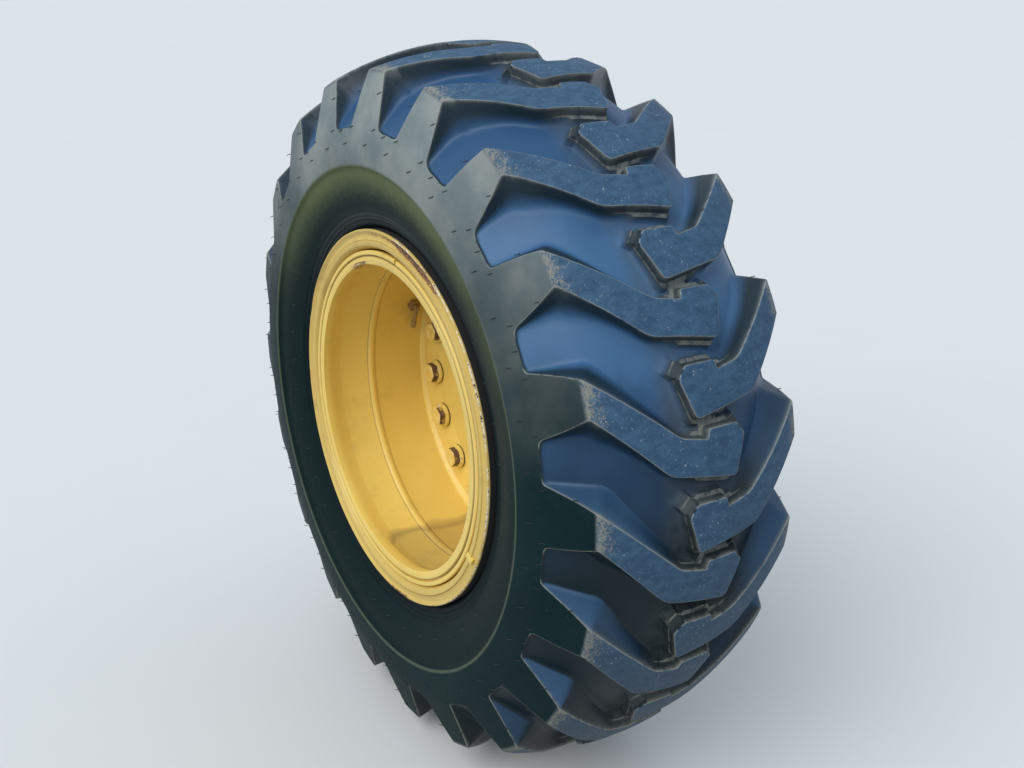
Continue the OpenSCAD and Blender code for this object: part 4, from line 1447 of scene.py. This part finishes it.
ring_line = [
    (lip_mm + 13.2, gutter_in_mm + 0.4), (barrel_mm + 10.7, gutter_in_mm + 0.4),
    (foot_mm - 18.0, gutter_out_mm - 2.6), (foot_mm - 18.0, edge_mm - 4.6), (foot_mm - 19.6, edge_mm - 3.0),
    (lip_mm + 20.2, edge_mm - 3.0), (lip_mm + 18.9, edge_mm - 4.4), (lip_mm + 18.9, gutter_out_mm - 0.2),
    (lip_mm + 13.2, gutter_out_mm - 0.2)]
RING_GAP = (math.radians(82), 6 / 310)
RING_SHIFT = (0.6 * MM, -0.6 * MM)
turned("lock_ring_worn", ring_line, PAINT_RING, 40, "lock_ring", gap=RING_GAP, shift=RING_SHIFT)

# %% [markdown]
# ## Weld bead
# The disc is welded to the barrel all the way round. A weld bead is a row of overlapping scales, which
# a turned outline shows if its radius swells and shrinks once for each scale.

# %% Weld bead
WELD_SCALES = 300


def scaled(r, out, a):
    swell = 0.55 * abs(math.sin(a * WELD_SCALES / 2)) + 0.35 * math.sin(a * 11)
    return r - swell, out + swell * 0.6


weld_line = [(barrel_mm + rise, disc_mm + along) for rise, along in (
    (0.5, -1), (-9.5, -1), (-9.2, 1.2), (-6.6, 5.0), (-3.0, 9.0), (-0.2, 11.4), (0.5, 11.6))]
turned("disc_weld", weld_line, PAINT_RIM, 60, shape=scaled, steps=900)

# %% [markdown]
# ## Pieces that keep their solids' shape
# The disc, hub and housing are already right. Each gets a copy of its own mesh whose loose triangles are
# welded, whose flat faces are made whole and whose sharp edges get a small bevel, so that the light
# catches them, and the copy stands for the solid.

# %% Softened copies
FLAT = math.radians(0.4)
SOFTENED = {  # bevel in millimetres, paint, slot and body of each node
    "wheel_disc": (1.0, PAINT_DISC, "rim_paint", "wheel"),
    "wheel_spindle": (1.2, PAINT_DISC, "hub_paint", "wheel"),
    "spindle_cover": (0.8, PAINT_DISC, "hub_paint", "wheel"),
    "cover_bolts": (0.4, PAINT_DISC, "bolt_steel", "wheel"),
    "valve_base": (0.6, PAINT_VALVE, "bolt_paint", "wheel"),
    "valve_stem": (0.3, PAINT_VALVE, "bolt_paint", "wheel"),
    "bearing_housing": (1.6, PAINT_HOUSING, "housing_paint", "housing"),
    "brake_housing": (1.6, PAINT_HOUSING, "housing_paint", "housing"),
    "brake_bolts": (0.5, PAINT_HOUSING, "bolt_steel", "housing"),
    "brake_inlet": (0.5, PAINT_HOUSING, "bolt_steel", "housing"),
    "bleeder_screw": (0.4, PAINT_HOUSING, "bolt_steel", "housing")}


def make_whole(work):
    """Welds loose triangles and joins those that lie in one plane."""
    bmesh.ops.remove_doubles(work, verts=work.verts, dist=0.01 * MM)
    bmesh.ops.dissolve_limit(work, angle_limit=FLAT, verts=work.verts, edges=work.edges)


def softened(node, bevel, material, slot, body):
    mesh = worked(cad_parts[node].data.copy(), make_whole)
    piece = painted(placed(node + "_worn", mesh), material)
    edge = piece.modifiers.new("edge", "BEVEL")
    edge.width = bevel * MM
    edge.segments = 2
    edge.limit_method = "ANGLE"
    edge.angle_limit = math.radians(30)
    mesh = evaluated(piece)
    piece.modifiers.clear()
    piece.data = mesh
    mesh.shade_smooth()
    return settle(keep_edges(piece, 40), body, slot, node)


for node, look in SOFTENED.items():
    softened(node, *look)

# %% [markdown]
# ## Wheel bolts
# Sixteen bolts hold the disc to the hub, each on a thick washer. They were painted with the wheel and
# have been turned since, so the tops are yellow and the flats are bare and rusty. Each bolt stopped at
# its own angle, which the ring tree gives it from a fixed seed. The attribute `flank` is 1 on the flats.

# %% Bolts
BOLTS = 16
BOLT_CIRCLE = (barrel_mm - 57.5) * MM
BOLT_START = math.radians(5)
BOLT_AF = 36 * MM
HEAD_HEIGHT = 15 * MM
SHANK_R = 12 * MM
SHANK_LENGTH = 54 * MM
SHANK_BEVEL = 1.5 * MM
BOLT_RUST = (0.070, 0.040, 0.024), (0.190, 0.105, 0.055)


def bolt_finish():
    made = Finish("paint_bolt", coat=0.1)
    fine = made.noise(260.0, 5, 0.6)
    coarse = made.noise(60.0, 4, 0.6)
    worn = (made.attribute("flank") * 0.50 + coarse * 0.60 + fine * 0.25).rise(0.80, 0.90)
    colour = made.mix(coarse.rise(0.35, 0.7), YELLOW_DEEP, YELLOW_PALE)
    colour = made.mix(worn, colour, made.mix(fine.rise(0.42, 0.60), *BOLT_RUST))
    made.bump(fine * (0.4 + worn) - worn * 0.8, 0.6, 0.3 * MM)
    return made.finish(colour, 0.42 + worn * 0.3)


def circle(radius, out, sides=48):
    """A ring of points round the Y axis; -Y is outboard. The radius may be a function of the turn."""
    turns = [2 * math.pi * k / sides for k in range(sides)]
    reach = [radius(t) if callable(radius) else radius for t in turns]
    return [(r * math.cos(t), -out, r * math.sin(t)) for r, t in zip(reach, turns)]


def hexagon(cut, out, shrink=1.0):
    """A ring round a hexagon whose corners are cut back to a share of its half width."""
    half = BOLT_AF / 2

    def reach(t):
        flat = half / math.cos((t + math.pi / 6) % (math.pi / 3) - math.pi / 6)
        return min(flat, half * cut) * shrink

    return circle(reach, out)


def bolt():
    """A head whose top corners are cut back by a cone, with its shank down to the back of the hub."""
    top = HEAD_HEIGHT
    rings = [circle(SHANK_R - SHANK_BEVEL, -SHANK_LENGTH), circle(SHANK_R, SHANK_BEVEL - SHANK_LENGTH),
             circle(SHANK_R, 0), hexagon(1.14, 0, 0.985), hexagon(1.15, 0.4 * MM), hexagon(1.15, top * 0.74),
             hexagon(1.09, top * 0.84), hexagon(1.0, top * 0.94), hexagon(0.93, top, 0.985),
             circle(BOLT_AF / 2 * 0.35, top - 0.1 * MM)]
    mesh = skin(rings)
    flank = mesh.attributes.new("flank", "FLOAT", "POINT")
    flank.data.foreach_set("value", [float(-0.1 * MM < -v.co.y < top * 0.9) for v in mesh.vertices])
    return mesh


# %% Washers
WASHER_MM = 25
WASHER_HEIGHT_MM = 9
WASHER_BORE_MM = 12.96
WASHER_LINE = [
    (WASHER_BORE_MM, 0), (WASHER_MM - 0.6, 0), (WASHER_MM, 0.8), (WASHER_MM, WASHER_HEIGHT_MM - 2.2),
    (WASHER_MM - 0.7, WASHER_HEIGHT_MM - 0.8), (WASHER_MM - 2.2, WASHER_HEIGHT_MM),
    (WASHER_BORE_MM, WASHER_HEIGHT_MM)]
washer = skin([circle(r, out, 40) for r, out in mm(WASHER_LINE)])
disc_y = MIDDLE_Y - DISC_OUT
ring = {"count": BOLTS, "radius": BOLT_CIRCLE, "start": BOLT_START}
bolts = copies(bolt(), "wheel_bolts_worn", bolt_finish(), along=disc_y - WASHER_HEIGHT_MM * MM,
               random_turn=2 * math.pi, **ring)
settle(keep_edges(bolts, 25), "wheel", "bolt_paint", "wheel_bolts")
washers = copies(washer, "bolt_washers_worn", PAINT_WASHER, along=disc_y, **ring)
settle(keep_edges(washers, 35), "wheel", "rim_paint", "bolt_washers")
print("bolt faces", len(bolts.data.polygons), "washer faces", len(washers.data.polygons))

# %% [markdown]
# ## Driver key
# A small key is welded across the band and the flange's foot, so that the band can't creep round. It sits
# low on the side that faces forward.

# %% Driver key
KEY_ANGLE = math.radians(-28)
KEY_SIZE = (19 * MM, 5 * MM, 13 * MM)


def driver_key():
    spot = Vector(around((foot_mm - 2.0) * MM, (edge_mm - 1.2) * MM, KEY_ANGLE))

    def shape(work):
        bmesh.ops.create_cube(work, size=1.0)
        bmesh.ops.scale(work, vec=KEY_SIZE, verts=work.verts)
        bmesh.ops.bevel(work, geom=work.edges, offset=1.6 * MM, segments=2, affect="EDGES", profile=0.6)
        work.transform(Matrix.Translation(spot) @ Matrix.Rotation(-KEY_ANGLE, 4, "Y"))

    mesh = worked(bpy.data.meshes.new("driver_key"), shape)
    mesh.shade_smooth()
    return keep_edges(painted(placed("driver_key", mesh), PAINT_RIM), 40)


settle(driver_key(), "wheel", "rim_paint")

# %% [markdown]
# ## Floor and surroundings
# The floor is plain and pale, touches the lowest lugs and reaches past the picture. A real yard is a mid
# grey, which throws less light back up under the tyre, so the pale tone is only what the camera and
# reflections see. The world is a soft overcast sky that is brightest overhead, which is what gives the
# moulded rubber its form.

# %% Floor and world
FLOOR_REACH = 40.0
FLOOR_TONE = (0.70, 0.70, 0.695)
FLOOR_LIGHT = (0.73, 0.73, 0.725)
FLOOR_BOUNCE = (0.36, 0.36, 0.35)
SKY_HIGH = (0.74, 0.87, 1.0)
SKY_LOW = (0.86, 0.92, 0.98)
SKY_STRENGTH = (0.52, 0.84)
SKY_FULL_AT = 0.8


def seen_by_eye(made):
    """1 for rays from the camera and for reflections, which show the floor; 0 for light on the object."""
    path = made.node("ShaderNodeLightPath").outputs
    rays = [Value(made, path[f"Is {kind} Ray"]) for kind in ("Camera", "Glossy", "Transmission")]
    return rays[0].most(rays[1]).most(rays[2])


def make_floor():
    corners = [(x * FLOOR_REACH, y * FLOOR_REACH, -TYRE_R) for x, y in ((-1, -1), (1, -1), (1, 1), (-1, 1))]
    piece = placed("floor", mesh_from("floor", corners, [(0, 1, 2, 3)]))
    made = Finish("floor_concrete")
    pale = made.mix(made.noise(2.0, 6, 0.6), FLOOR_TONE, FLOOR_LIGHT)
    colour = made.mix(seen_by_eye(made), FLOOR_BOUNCE, pale)
    painted(piece, made.finish(colour, made.noise(30.0, 4) * 0.2 + 0.75))
    piece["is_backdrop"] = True


def make_world():
    world = bpy.data.worlds.new("studio")
    world.use_nodes = True
    tree = world.node_tree
    toward = add_node(tree, "ShaderNodeTexCoord").outputs["Generated"]
    up = add_node(tree, "ShaderNodeSeparateXYZ", {}, {0: toward}).outputs["Z"]
    limits = {"From Max": SKY_FULL_AT, "To Min": SKY_STRENGTH[0], "To Max": SKY_STRENGTH[1]}
    strength = add_node(tree, "ShaderNodeMapRange", {}, {"Value": up, "From Min": 0.0, **limits}).outputs[0]
    tone = add_node(tree, "ShaderNodeMix", {"data_type": "RGBA"}, {0: up, 6: SKY_LOW, 7: SKY_HIGH}).outputs[2]
    feed(tree, tree.nodes["Background"].inputs["Color"], tone)
    feed(tree, tree.nodes["Background"].inputs["Strength"], strength)
    bpy.context.scene.world = world


make_floor()
make_world()

# %% Measure how much the boxes grow
seen_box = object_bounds()
growth = [(seen_box[1][k] - seen_box[0][k]) - (cad_box[1][k] - cad_box[0][k]) for k in range(3)]
print("grows by", [round(change, 5) for change in growth])
